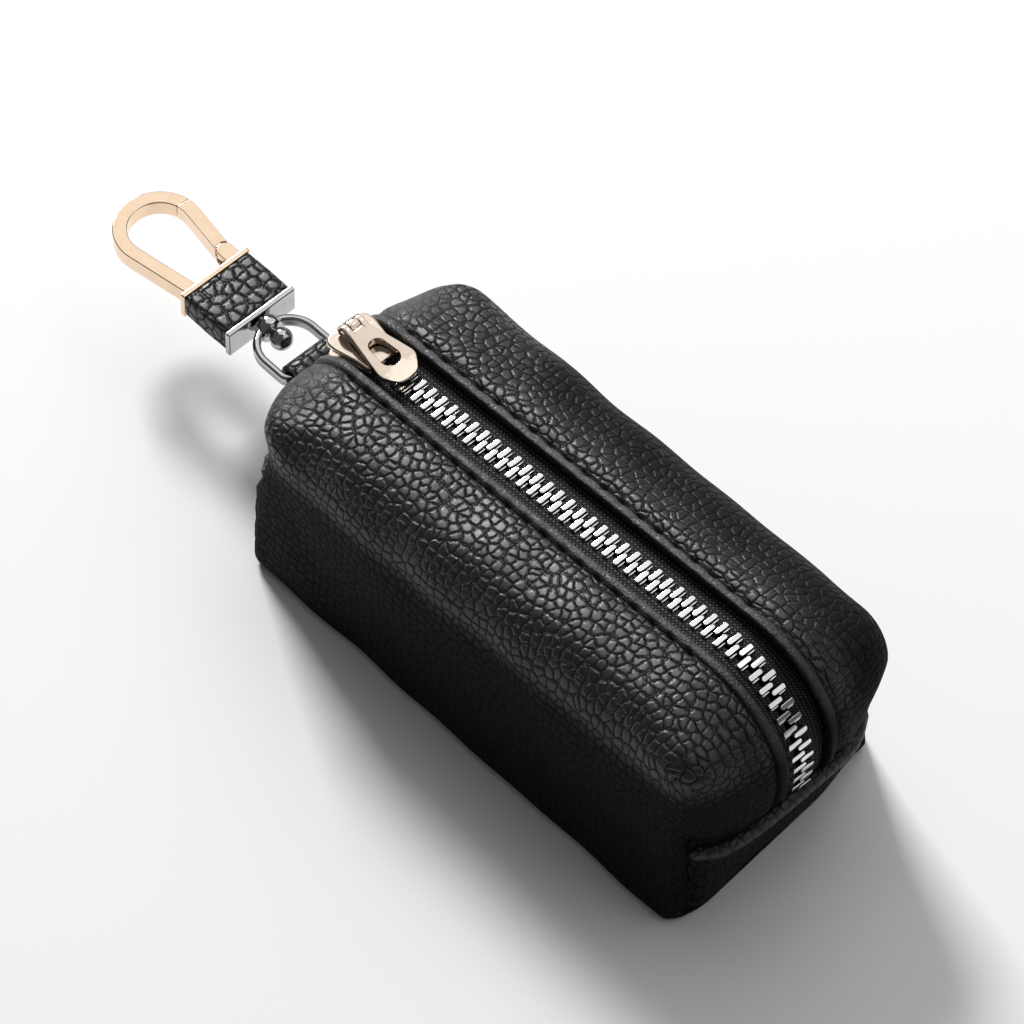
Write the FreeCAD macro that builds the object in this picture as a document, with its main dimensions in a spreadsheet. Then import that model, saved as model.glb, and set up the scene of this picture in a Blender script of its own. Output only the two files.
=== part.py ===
import FreeCAD, Part
import math
import os
import Sketcher
from FreeCAD import Placement, Rotation, Vector

# Zipped leather key case with a swivel clip, in millimetres.
# Origin at the centre of the flat base, +X towards the open end of the zip, +Z up.

doc = FreeCAD.newDocument("key_case")
sheet = doc.addObject("Spreadsheet::Sheet", "Sizes")

SIZES = [
    # leather case
    ("case_half_width", "25", "half width over the two sides"),
    ("base_far_x", "52.4", "far edge of the flat base"),
    ("base_loop_back", "53.9", "loop edge of the flat base"),
    ("seam_z", "19", "height of the two end seams"),
    ("seam_far_x", "58.6", "far end seam, at the middle"),
    ("seam_loop_back", "58", "loop end seam, at the middle"),
    ("top_far_x", "60.2", "far end carried up to the top, before rounding"),
    ("top_loop_back", "58.6", "loop end carried up to the top, before rounding"),
    ("far_shoulder_r", "20", "rounding from the top down to the far end"),
    ("loop_shoulder_r", "8", "rounding from the top down to the loop end"),
    ("far_corner_x", "51.5", "far corners seen from above"),
    ("loop_corner_back", "51.5", "loop corners seen from above"),
    ("far_apex_x", "60", "far end at its most bulged, seen from above"),
    ("loop_apex_back", "59.2", "loop end at its most bulged, seen from above"),
    ("corner_r", "5", "upright corner rounding"),
    ("base_edge_r", "2.6", "rounding of the long base edges"),
    ("side_shoulder_r", "10", "rounding from the sides to the top"),
    ("form_height", "70", "height of the blanks that shape the case"),
    ("form_length", "160", "length of the blanks that shape the case"),
    ("leather_wall", "1.2", "leather thickness"),
    ("base_band", "2.6", "how far the bottom panel turns up the sides"),
    ("far_flap_x", "50.5", "start of the far lower flap"),
    ("loop_flap_back", "51.5", "start of the loop lower flap"),
    ("mouth_half", "6.1", "half width of the zip opening between the lips"),
    ("lip_width", "2.4", "width of the turned lip"),
    ("lip_rise", "0.9", "height of the turned lip above the leather"),
    ("lining_gap", "0.1", "gap between leather and lining"),
    ("lining_wall", "0.4", "lining thickness"),
    ("lining_top_z", "32", "top edge of the lining tub"),
    ("lining_notch", "1.5", "lining notch below the end seams"),
    # stitches along the lips
    ("stitch_y", "9.1", "stitch row from the middle"),
    ("stitch_length", "3", "one stitch"),
    ("stitch_pitch", "4.4", "stitch spacing"),
    ("stitch_r", "0.26", "thread radius"),
    ("stitch_start_back", "46", "first stitch along the track"),
    ("stitch_count", "19", "stitches in a row"),
    ("stitch_gap", "0.03", "thread above the leather"),
    # zip track, a straight line that climbs towards the far end
    ("track_z", "41.3", "tape middle above the origin"),
    ("track_tilt", "3.2", "climb of the track in degrees"),
    ("tape_half", "0.225", "half thickness of the tape"),
    ("tape_inner_y", "2.1", "inner edge of each tape half"),
    ("tape_outer_y", "8.6", "outer edge of each tape half"),
    ("tape_clear", "1", "tape top to leather underside, room for the teeth"),
    ("tape_loop_back", "51.5", "loop end of the moving tape halves"),
    ("pivot_x", "37.5", "point where the two zip halves part"),
    ("tape_far_gap", "1", "moving tape to the pivot"),
    ("fixed_tape_gap", "0.3", "far tape beyond the pivot"),
    ("fixed_tape_half", "5.9", "half width of the tape at the two ends"),
    ("end_tape_foot", "0.4", "far tape above the seam"),
    ("loop_tape_clear", "0.25", "tape at the loop end to the leather over it"),
    ("loop_tape_z", "23.2", "lower edge of the tape at the loop end"),
    ("loop_tape_top", "32", "upper edge of the tape at the loop end"),
    ("tooth_pitch", "2.65", "spacing of the teeth on one side"),
    ("tooth_length", "1.15", "tooth along the tape"),
    ("tooth_half", "1.1", "half height of a tooth"),
    ("tooth_reach", "0.3", "how far a tooth head crosses the middle"),
    ("tooth_root_y", "2.9", "outer end of a tooth"),
    ("tooth_slot", "0.05", "gap between tape and tooth"),
    ("tooth_start", "0.3", "first tooth from the slider's rear"),
    ("far_tooth_start", "0.7", "first fixed tooth from the pivot"),
    ("far_tooth_end", "1.8", "last fixed tooth to the seam"),
    ("far_zip_top", "=seam_far_x - pivot_x", "fixed zip along the top, to the corner"),
    ("far_zip_fall", "=track_z + seam_far_x * tan(track_tilt * 1deg) - seam_z",
     "fixed zip from the corner down to the seam"),
    ("far_zip_run", "=far_zip_top + far_zip_fall - (2 - pi / 2) * far_shoulder_r",
     "fixed zip from the pivot round to the seam"),
    ("far_tooth_count", "=floor((far_zip_run - far_tooth_start - far_tooth_end) / tooth_pitch)",
     "fixed teeth on each side"),
    # slider and pull
    ("slider_rear_back", "45.5", "rear of the slider with the zip closed"),
    ("tooth_count", "=floor((slider_rear_back + pivot_x - tooth_start) / tooth_pitch)",
     "teeth on each moving half"),
    ("slider_length", "11", "slider length"),
    ("slider_half", "5.7", "half width of the slider"),
    ("slider_gap_half", "1.3", "half gap between the slider plates"),
    ("slider_plate", "1.1", "plate thickness"),
    ("slider_flange", "0.8", "thickness of the side flanges"),
    ("slider_flange_half", "0.5", "half gap between the flanges for the tape"),
    ("slider_corner_r", "2.4", "rounding of the plate corners"),
    ("neck_start", "9", "slider neck from the rear"),
    ("neck_length", "1.8", "length of the neck"),
    ("neck_half", "0.28", "half width of the neck"),
    ("lug_offset", "8.5", "pull pivot from the slider's rear"),
    ("lug_back", "=slider_rear_back + lug_offset", "pull pivot along the track"),
    ("lug_z", "3.7", "pull pivot above the tape"),
    ("lug_r", "1.5", "radius of the lug"),
    ("lug_half", "0.9", "half width of the lug"),
    ("pull_pin_r", "0.7", "pin of the pull"),
    ("running_gap", "0.05", "radial running clearance"),
    ("side_gap", "0.15", "sideways clearance of hinged pieces"),
    ("pull_arm", "1.1", "width of each pull arm"),
    ("pull_half", "0.8", "half thickness of the pull"),
    ("pull_neck_x", "3.2", "solid part of the pull begins, from the pivot"),
    ("pull_wide_x", "10.6", "widest place of the pull, from the pivot"),
    ("pull_wide_half", "4", "half of the widest place"),
    ("pull_tip_x", "15.6", "tip of the pull, from the pivot"),
    ("pull_tip_half", "2.8", "half width of the tip"),
    ("pull_window_x", "8.2", "window centre, from the pivot"),
    ("pull_window_half", "1.2", "half of the window's straight sides"),
    ("pull_window_r", "1.5", "half width of the window"),
    ("pull_slope", "2.2", "fall of the resting pull in degrees"),
    # loop tab, ring and swivel
    ("clip_z", "20.6", "mid height of loop tab, ring and clip"),
    ("ring_bar_back", "65.2", "middle of the ring's straight bar"),
    ("ring_strip", "1.5", "ring strip seen from above"),
    ("ring_half_height", "1.2", "half height of the ring strip"),
    ("ring_half_width", "6.5", "half of the ring's outer width"),
    ("ring_arc_back", "71", "centre of the ring's round end"),
    ("tab_eye_r", "1.55", "eye of the loop tab"),
    ("tab_leather", "1.15", "leather round the eye"),
    ("tab_half_width", "4.7", "half width of the loop tab"),
    ("tab_root_back", "55.9", "inner end of the loop tab"),
    ("tab_root_half", "1", "half thickness of the loop tab at the seam"),
    ("boss_r", "2.3", "boss on the ring's crown"),
    ("boss_inner_back", "75.2", "inner face of the boss"),
    ("boss_outer_back", "77.6", "outer face of the boss"),
    ("post_r", "1", "swivel post"),
    ("ball_r", "1.9", "ball head of the post"),
    ("ball_back", "73.3", "centre of the ball head"),
    ("post_end_back", "82", "end of the post in the clip's core"),
    # clip frame, sleeve, hook and gate
    ("flange_lower_back", "78.1", "lower face of the clip"),
    ("flange_upper_back", "91.2", "upper face of the clip"),
    ("flange_thick", "1.2", "flange thickness"),
    ("flange_half_width", "7.9", "half width of the flanges"),
    ("flange_half_height", "2.9", "half height of the flanges"),
    ("core_half_width", "6.5", "half width of the core"),
    ("core_half_height", "1.4", "half height of the core"),
    ("sleeve_half_width", "7.7", "half width of the leather sleeve"),
    ("sleeve_half_height", "2.7", "half height of the leather sleeve"),
    ("sleeve_gap", "0.05", "gap between sleeve and metal"),
    ("hook_half_height", "1.7", "half thickness of the hook"),
    ("hook_base_half", "6.2", "outer half width of the hook at the flange"),
    ("hook_centre_back", "105.6", "centre of the hook's round end"),
    ("hook_r", "8.4", "outer radius of the hook"),
    ("hook_bar", "2.7", "width of the hook's bar"),
    ("hook_overlap", "0.6", "hook run into the flange"),
    ("seat_r", "13.1", "gate seat from the gate pivot"),
    ("gate_pin_back", "93.9", "gate pivot"),
    ("gate_pin_y", "5.35", "gate pivot from the middle"),
    ("gate_pin_r", "0.5", "gate pin"),
    ("foot_r", "1.6", "rounded end of the hook's foot"),
    ("gate_gap", "0.2", "gap between gate and hook"),
    ("tongue_r", "1.3", "round end of the gate's tongue"),
    ("tongue_half", "0.8", "half thickness of the tongue"),
    ("tongue_width", "1.8", "width of the tongue"),
    ("tongue_run", "4", "tongue run into the gate"),
    ("foot_slot_back", "92", "inner end of the foot's slot"),
    ("leaf_thick", "0.25", "gate spring leaf"),
    ("leaf_gap", "0.1", "leaf clear of the tongue"),
    ("leaf_half", "0.7", "half width of the leaf"),
    # inner strap and key ring
    ("strap_eye_back", "43", "eye of the inner strap"),
    ("strap_eye_z", "5.6", "height of the eye"),
    ("strap_eye_r", "2.1", "eye of the strap"),
    ("strap_leather", "1.1", "leather round the eye"),
    ("strap_half_width", "4", "half width of the strap"),
    ("strap_root_back", "51", "strap's sewn end"),
    ("strap_root_half", "1.1", "half thickness of the sewn end"),
    ("key_ring_r", "12", "outer radius of the key ring"),
    ("key_ring_strip", "1.5", "key ring strip"),
    ("key_ring_tilt", "6.6", "fall of the resting key ring in degrees"),
]

for row, (alias, value, note) in enumerate(SIZES, start=1):
    sheet.set("A%d" % row, note)
    sheet.set("B%d" % row, value)
    sheet.setAlias("B%d" % row, alias)
doc.recompute()


class Dim:
    """A size that keeps its number and the expression it comes from."""

    def __init__(self, number, text):
        self.number = float(number)
        self.text = text

    @staticmethod
    def of(other):
        if isinstance(other, Dim):
            return other
        return Dim(other, "(%r)" % other)

    def __add__(self, other):
        other = Dim.of(other)
        return Dim(self.number + other.number, "(%s + %s)" % (self.text, other.text))

    def __sub__(self, other):
        other = Dim.of(other)
        return Dim(self.number - other.number, "(%s - %s)" % (self.text, other.text))

    def __mul__(self, other):
        other = Dim.of(other)
        return Dim(self.number * other.number, "(%s * %s)" % (self.text, other.text))

    def __truediv__(self, other):
        other = Dim.of(other)
        return Dim(self.number / other.number, "(%s / %s)" % (self.text, other.text))

    def at_most(self, other):
        return Dim(min(self.number, other.number), "min(%s; %s)" % (self.text, other.text))

    def __neg__(self):
        return Dim(-self.number, "(-%s)" % self.text)


class Sizes:
    """Every named size of the sheet as a Dim."""


d = Sizes()
for alias, value, note in SIZES:
    setattr(d, alias, Dim(sheet.get(alias), "Sizes." + alias))

ZERO = Dim(0, "0")
TILT_COS = Dim(math.cos(math.radians(d.track_tilt.number)), "cos(Sizes.track_tilt * 1 deg)")
TILT_SIN = Dim(math.sin(math.radians(d.track_tilt.number)), "sin(Sizes.track_tilt * 1 deg)")
TILT_TAN = TILT_SIN / TILT_COS
end_round_share = 0.9
leather_over_tape = d.tape_half + d.tape_clear + d.leather_wall


def top_height(x, inset):
    """Height of the climbing top, or of a layer under it, at a place along the case."""
    return d.track_z + (leather_over_tape - inset) / TILT_COS + x * TILT_TAN


top_far = top_height(d.top_far_x, ZERO)
top_loop = top_height(-d.top_loop_back, ZERO)
far_round = d.far_shoulder_r.at_most((top_far - d.seam_z) * end_round_share)
loop_round = d.loop_shoulder_r.at_most((top_loop - d.seam_z) * end_round_share)


def bind(obj, name, dim):
    """Set a property from a size and keep it bound to the sheet."""
    obj.setExpression(name, dim.text)


def place(obj, x=ZERO, y=ZERO, z=ZERO, axis=None, angle=None):
    """Place an object at bound coordinates, turned by a bound angle."""
    turn = Rotation()
    if axis is not None:
        turn = Rotation(Vector(*axis), angle.number)
    obj.Placement = Placement(Vector(x.number, y.number, z.number), turn)
    bind(obj, "Placement.Base.x", x)
    bind(obj, "Placement.Base.y", y)
    bind(obj, "Placement.Base.z", z)
    if axis is not None:
        bind(obj, "Placement.Rotation.Angle", angle)
    return obj


def on_track(obj, x=ZERO, y=ZERO, z=ZERO):
    """Place an object by its coordinates on the climbing zip track."""
    return place(obj, x * TILT_COS - z * TILT_SIN, y, d.track_z + x * TILT_SIN + z * TILT_COS,
                 (0, -1, 0), d.track_tilt)


def box(name, low, high, track=False):
    """A box between two corners, upright or on the zip track."""
    obj = doc.addObject("Part::Box", name)
    for label, a, b in zip(("Length", "Width", "Height"), low, high):
        bind(obj, label, b - a)
    if track:
        return on_track(obj, *low)
    return place(obj, *low)


def cylinder(name, radius, height, x, y, z, axis=None, angle=None):
    obj = doc.addObject("Part::Cylinder", name)
    bind(obj, "Radius", radius)
    bind(obj, "Height", height)
    return place(obj, x, y, z, axis, angle)


RIGHT_ANGLE = Dim(90, "90")


def x_cylinder(name, radius, start, end, y, z):
    """A cylinder that runs along +X."""
    return cylinder(name, radius, end - start, start, y, z, (0, 1, 0), RIGHT_ANGLE)


def y_cylinder(name, radius, half, x, z):
    """A cylinder across the track, centred on the middle plane."""
    obj = doc.addObject("Part::Cylinder", name)
    bind(obj, "Radius", radius)
    bind(obj, "Height", half * 2)
    return place(obj, x, half, z, (1, 0, 0), RIGHT_ANGLE)


def cut(name, base, tool):
    obj = doc.addObject("Part::Cut", name)
    obj.Base = base
    obj.Tool = tool
    return obj


def fuse(name, *parts):
    obj = doc.addObject("Part::MultiFuse", name)
    obj.Shapes = list(parts)
    return obj


def common(name, *parts):
    obj = doc.addObject("Part::MultiCommon", name)
    obj.Shapes = list(parts)
    return obj


def origin_plane(body, role):
    return [f for f in body.Origin.OriginFeatures if f.Role == role][0]


def new_body(name, role):
    """A body with one empty sketch on one of its own origin planes."""
    body = doc.addObject("PartDesign::Body", name)
    body.AllowCompound = True
    sketch = body.newObject("Sketcher::SketchObject", name + "_sketch")
    sketch.AttachmentSupport = (origin_plane(body, role), [""])
    sketch.MapMode = "FlatFace"
    return body, sketch


def rule(sketch, *words):
    return sketch.addConstraint(Sketcher.Constraint(*words))


def pin_point(sketch, geo, end, x, y):
    """Hold one end of a line at bound sketch coordinates."""
    for kind, dim in (("DistanceX", x), ("DistanceY", y)):
        index = rule(sketch, kind, -1, 1, geo, end, dim.number)
        bind(sketch, "Constraints[%d]" % index, dim)


def polygon(sketch, points):
    """A closed outline of straight lines through bound corners."""
    flat = [Vector(x.number, y.number, 0) for x, y in points]
    first = sketch.GeometryCount
    count = len(flat)
    for i in range(count):
        sketch.addGeometry(Part.LineSegment(flat[i], flat[(i + 1) % count]), False)
    for i in range(count):
        rule(sketch, "Coincident", first + i, 2, first + (i + 1) % count, 1)
    for i, (x, y) in enumerate(points):
        pin_point(sketch, first + i, 1, x, y)


def bowed_outline(sketch, x_far, x_loop, half, r_far, r_loop):
    """Two straight sides and two bowed ends, symmetric about the sketch's X axis."""
    def bow(x, radius, sign):
        centre = x.number - sign * math.sqrt(radius.number ** 2 - half.number ** 2)
        mid = Vector(centre + sign * radius.number, 0, 0)
        low = Vector(x.number, -half.number, 0)
        high = Vector(x.number, half.number, 0)
        return low, mid, high
    far_low, far_mid, far_high = bow(x_far, r_far, 1)
    loop_low, loop_mid, loop_high = bow(x_loop, r_loop, -1)
    sketch.addGeometry(Part.LineSegment(loop_low, far_low), False)
    sketch.addGeometry(Part.Arc(far_low, far_mid, far_high), False)
    sketch.addGeometry(Part.LineSegment(far_high, loop_high), False)
    sketch.addGeometry(Part.Arc(loop_high, loop_mid, loop_low), False)
    # arcs keep their ends in turning order, so each joint names the end that lies there
    rule(sketch, "Coincident", 0, 2, 1, 1)
    rule(sketch, "Coincident", 1, 2, 2, 1)
    rule(sketch, "Coincident", 2, 2, 3, 1)
    rule(sketch, "Coincident", 3, 2, 0, 1)
    pin_point(sketch, 0, 1, x_loop, -half)
    pin_point(sketch, 0, 2, x_far, -half)
    pin_point(sketch, 2, 1, x_far, half)
    pin_point(sketch, 2, 2, x_loop, half)
    for geo, radius in ((1, r_far), (3, r_loop)):
        index = rule(sketch, "Radius", geo, radius.number)
        bind(sketch, "Constraints[%d]" % index, radius)


def bow_radius(rise, half):
    """Radius of a bow from its rise over a chord of twice the half width."""
    return (half * half + rise * rise) / (rise * 2)


def teardrop(sketch, root_x, root_half, centre_x, radius):
    """A flat root and a round end joined by two tangent lines, along the sketch's X axis."""
    first = sketch.GeometryCount
    reach = root_x.number - centre_x.number
    turn = math.atan2(root_half.number, reach)
    spread = math.acos(radius.number / math.hypot(reach, root_half.number))
    angle = turn + spread if reach > 0 else turn - spread
    touch = Vector(centre_x.number + radius.number * math.cos(angle), radius.number * math.sin(angle), 0)
    side = -1 if reach > 0 else 1
    tip = Vector(centre_x.number + side * radius.number, 0, 0)
    root = Vector(root_x.number, root_half.number, 0)
    low_touch = Vector(touch.x, -touch.y, 0)
    low_root = Vector(root.x, -root.y, 0)
    sketch.addGeometry(Part.LineSegment(root, touch), False)
    sketch.addGeometry(Part.Arc(touch, tip, low_touch), False)
    sketch.addGeometry(Part.LineSegment(low_touch, low_root), False)
    sketch.addGeometry(Part.LineSegment(low_root, root), False)
    # an arc's first end is the one it turns away from, which depends on the side of the root
    upper, lower = (1, 2) if reach > 0 else (2, 1)
    rule(sketch, "Tangent", first, 2, first + 1, upper)
    rule(sketch, "Tangent", first + 1, lower, first + 2, 1)
    rule(sketch, "Coincident", first + 2, 2, first + 3, 1)
    rule(sketch, "Coincident", first + 3, 2, first, 1)
    rule(sketch, "PointOnObject", first + 1, 3, -1)
    index = rule(sketch, "DistanceX", -1, 1, first + 1, 3, centre_x.number)
    bind(sketch, "Constraints[%d]" % index, centre_x)
    index = rule(sketch, "Radius", first + 1, radius.number)
    bind(sketch, "Constraints[%d]" % index, radius)
    pin_point(sketch, first + 3, 1, root_x, -root_half)
    pin_point(sketch, first + 3, 2, root_x, root_half)


def circle(sketch, x, radius):
    """A circle on the sketch's X axis."""
    geo = sketch.addGeometry(Part.Circle(Vector(x.number, 0, 0), Vector(0, 0, 1), radius.number), False)
    rule(sketch, "PointOnObject", geo, 3, -1)
    index = rule(sketch, "DistanceX", -1, 1, geo, 3, x.number)
    bind(sketch, "Constraints[%d]" % index, x)
    index = rule(sketch, "Radius", geo, radius.number)
    bind(sketch, "Constraints[%d]" % index, radius)


def pad(body, sketch, length, midplane=True):
    feature = body.newObject("PartDesign::Pad", sketch.Name + "_pad")
    feature.Profile = sketch
    feature.Midplane = midplane
    bind(feature, "Length", length)
    body.Tip = feature
    doc.recompute()
    return feature


def fillet(body, base, radius, choose, name):
    """Round the edges of the base feature whose middle point passes the test."""
    names = []
    for i, edge in enumerate(base.Shape.Edges, start=1):
        middle = edge.valueAt((edge.FirstParameter + edge.LastParameter) / 2)
        if choose(edge, middle):
            names.append("Edge%d" % i)
    feature = body.newObject("PartDesign::Fillet", name)
    feature.Base = (base, names)
    bind(feature, "Radius", radius)
    body.Tip = feature
    doc.recompute()
    return feature


def runs_along(edge, direction):
    ends = [v.Point for v in edge.Vertexes]
    if len(ends) < 2 or edge.Curve.TypeId != "Part::GeomLine":
        return False
    return abs((ends[1] - ends[0]).normalize().dot(Vector(*direction))) > 0.999


# The case is shaped by four blanks that are cut against each other: its side view, its
# plan, its lower section and, on the climb of the zip, its upper section.

def side_blank(name, inset):
    body, sketch = new_body(name + "_side", "XZ_Plane")
    far_top = d.top_far_x - inset
    loop_top = -d.top_loop_back + inset
    polygon(sketch, [
        (-d.base_loop_back + inset, inset), (d.base_far_x - inset, inset),
        (d.seam_far_x - inset, d.seam_z), (far_top, top_height(far_top, inset)),
        (loop_top, top_height(loop_top, inset)), (-d.seam_loop_back + inset, d.seam_z)])
    feature = pad(body, sketch, d.case_half_width * 4)
    far_x = far_top.number
    loop_x = loop_top.number
    close = d.leather_wall.number / 10
    fillet(body, feature, far_round - inset,
           lambda e, p: runs_along(e, (0, 1, 0)) and abs(p.x - far_x) < close, name + "_far_round")
    fillet(body, body.Tip, loop_round - inset,
           lambda e, p: runs_along(e, (0, 1, 0)) and abs(p.x - loop_x) < close, name + "_loop_round")
    return body


def plan_blank(name, inset):
    body, sketch = new_body(name + "_plan", "XY_Plane")
    half = d.case_half_width - inset
    bowed_outline(sketch, d.far_corner_x - inset, -d.loop_corner_back + inset, half,
                  bow_radius(d.far_apex_x - d.far_corner_x, half),
                  bow_radius(d.loop_apex_back - d.loop_corner_back, half))
    feature = pad(body, sketch, d.form_height * 2)
    fillet(body, feature, d.corner_r - inset, lambda e, p: runs_along(e, (0, 0, 1)), name + "_corners")
    return body


def section_blank(name, inset, upper):
    body, sketch = new_body(name + ("_upper" if upper else "_lower"), "YZ_Plane")
    half = d.case_half_width - inset
    if upper:
        bottom = -d.form_height
        top = leather_over_tape - inset
        radius = d.side_shoulder_r - inset
        edge_z = top.number
    else:
        bottom = inset
        top = d.form_height
        radius = d.base_edge_r - inset
        edge_z = bottom.number
    polygon(sketch, [(-half, bottom), (half, bottom), (half, top), (-half, top)])
    feature = pad(body, sketch, d.form_length)
    close = d.leather_wall.number / 10
    fillet(body, feature, radius,
           lambda e, p: runs_along(e, (1, 0, 0)) and abs(p.z - edge_z) < close, body.Name + "_round")
    if upper:
        on_track(body)
    return body


def case_form(name, inset):
    return common(name, side_blank(name, inset), plan_blank(name, inset),
                  section_blank(name, inset, False), section_blank(name, inset, True))


far = d.form_length / 2
tall = d.form_height
wide = d.case_half_width * 2

case_outer = case_form("case_outer", ZERO)
case_inner = case_form("case_inner", d.leather_wall)
shell = cut("leather_shell", case_outer, case_inner)

base_zone = fuse(
    "base_zone",
    box("base_slab", (-far, -wide, -d.base_band), (far, wide, d.base_band)),
    box("far_flap_zone", (d.far_flap_x, -wide, -d.base_band), (far, wide, d.seam_z)),
    box("loop_flap_zone", (-far, -wide, -d.base_band), (-d.loop_flap_back, wide, d.seam_z)))
mouth = box("mouth_zone", (-far, -d.mouth_half, d.seam_z), (far, d.mouth_half, tall))
bottom_panel = common("bottom_panel", shell, base_zone)
upper_shell = cut("upper_shell", shell, fuse("upper_cut", base_zone, mouth))

lip_outer = case_form("lip_outer", -d.lip_rise)
lip_shell = cut("lip_shell", lip_outer, case_outer)


def side_panel(name, sign):
    """One side of the case with its half of the top, its end flaps and its turned lip."""
    if sign < 0:
        low, high = -wide, ZERO
        lip_low, lip_high = -(d.mouth_half + d.lip_width), -d.mouth_half
    else:
        low, high = ZERO, wide
        lip_low, lip_high = d.mouth_half, d.mouth_half + d.lip_width
    half = common(name + "_half", upper_shell, box(name + "_zone", (-far, low, -tall), (far, high, tall)))
    strip = common(name + "_lip", lip_shell,
                   box(name + "_lip_zone", (-far, lip_low, d.seam_z), (far, lip_high, tall)))
    return fuse(name, half, strip)


left_panel = side_panel("left_panel", -1)
right_panel = side_panel("right_panel", 1)

lining_outer = case_form("lining_outer", d.leather_wall + d.lining_gap)
lining_inner = case_form("lining_inner", d.leather_wall + d.lining_gap + d.lining_wall)
lip_half = d.mouth_half + d.lip_width
lining = cut("lining", cut("lining_shell", lining_outer, lining_inner), fuse(
    "lining_cuts",
    box("lining_mouth", (-far, -wide, d.lining_top_z), (far, wide, tall)),
    box("lining_notch", (-far, -lip_half, d.seam_z - d.lining_notch), (far, lip_half, tall))))


def stitch_row(name, sign):
    """Short threads lying along the outer side of a lip."""
    body, sketch = new_body(name, "YZ_Plane")
    z = leather_over_tape + d.stitch_r + d.stitch_gap
    y = d.stitch_y if sign > 0 else -d.stitch_y
    geo = sketch.addGeometry(Part.Circle(Vector(y.number, z.number, 0), Vector(0, 0, 1), d.stitch_r.number), False)
    pin_point(sketch, geo, 3, y, z)
    index = rule(sketch, "Radius", geo, d.stitch_r.number)
    bind(sketch, "Constraints[%d]" % index, d.stitch_r)
    bind(sketch, "AttachmentOffset.Base.z", -d.stitch_start_back)
    pad(body, sketch, d.stitch_length, False)
    row = body.newObject("PartDesign::LinearPattern", name + "_row")
    row.Originals = [body.Tip]
    row.Direction = (sketch, ["N_Axis"])
    bind(row, "Length", d.stitch_pitch * (d.stitch_count - 1))
    bind(row, "Occurrences", d.stitch_count)
    body.Tip = row
    on_track(body)
    return body


left_stitches = stitch_row("left_stitches", -1)
right_stitches = stitch_row("right_stitches", 1)

# Zip: two straight halves that swing apart about the pivot, and fixed ends that turn down.


def tape_half(name, sign):
    inner = d.tape_inner_y
    outer = d.tape_outer_y
    low, high = (inner, outer) if sign > 0 else (-outer, -inner)
    return box(name, (-d.tape_loop_back, low, -d.tape_half), (d.pivot_x - d.tape_far_gap, high, d.tape_half), True)


left_tape = tape_half("left_tape", -1)
right_tape = tape_half("right_tape", 1)


def tooth_row(name, sign, shift):
    """A row of teeth clamped over the inner edge of one tape half."""
    body, sketch = new_body(name + "_row", "XY_Plane")
    start = -d.slider_rear_back + d.tooth_start + shift
    inner = -d.tooth_reach
    outer = d.tooth_root_y
    low, high = (inner, outer) if sign > 0 else (-outer, -inner)
    polygon(sketch, [(start, low), (start + d.tooth_length, low),
                     (start + d.tooth_length, high), (start, high)])
    pad(body, sketch, d.tooth_half * 2)
    row = body.newObject("PartDesign::LinearPattern", name + "_pattern")
    row.Originals = [body.Tip]
    row.Direction = (sketch, ["H_Axis"])
    bind(row, "Length", d.tooth_pitch * (d.tooth_count - 1))
    bind(row, "Occurrences", d.tooth_count)
    body.Tip = row
    on_track(body)
    slot = d.tape_half + d.tooth_slot
    edge = d.tape_inner_y - d.tooth_slot
    low, high = (edge, d.tape_outer_y) if sign > 0 else (-d.tape_outer_y, -edge)
    groove = box(name + "_groove", (-far, low, -slot), (far, high, slot), True)
    return cut(name, body, groove)


left_teeth = tooth_row("left_teeth", -1, ZERO)
right_teeth = tooth_row("right_teeth", 1, d.tooth_pitch / 2)

tape_top = d.leather_wall + d.tape_clear
tape_bottom = tape_top + d.tape_half * 2
tape_shell = cut("tape_shell", side_blank("tape_over", tape_top), side_blank("tape_under", tape_bottom))
far_zone = box("far_tape_zone", (d.pivot_x + d.fixed_tape_gap, -d.fixed_tape_half, -d.form_height),
               (far, d.fixed_tape_half, d.form_height), True)
far_foot = box("far_tape_foot", (-far, -wide, -tall), (far, wide, d.seam_z + d.end_tape_foot))
far_tape = cut("far_tape", common("far_tape_strip", tape_shell, far_zone), far_foot)
loop_tape_inset = d.leather_wall + d.loop_tape_clear
loop_shell = cut("loop_tape_shell", side_blank("loop_tape_over", loop_tape_inset),
                 side_blank("loop_tape_under", loop_tape_inset + d.tape_half * 2))
loop_end_tape = common("loop_end_tape", loop_shell,
                       box("loop_tape_zone", (-far, -d.fixed_tape_half, d.loop_tape_z),
                           (-d.base_loop_back, d.fixed_tape_half, d.loop_tape_top)))


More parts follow.
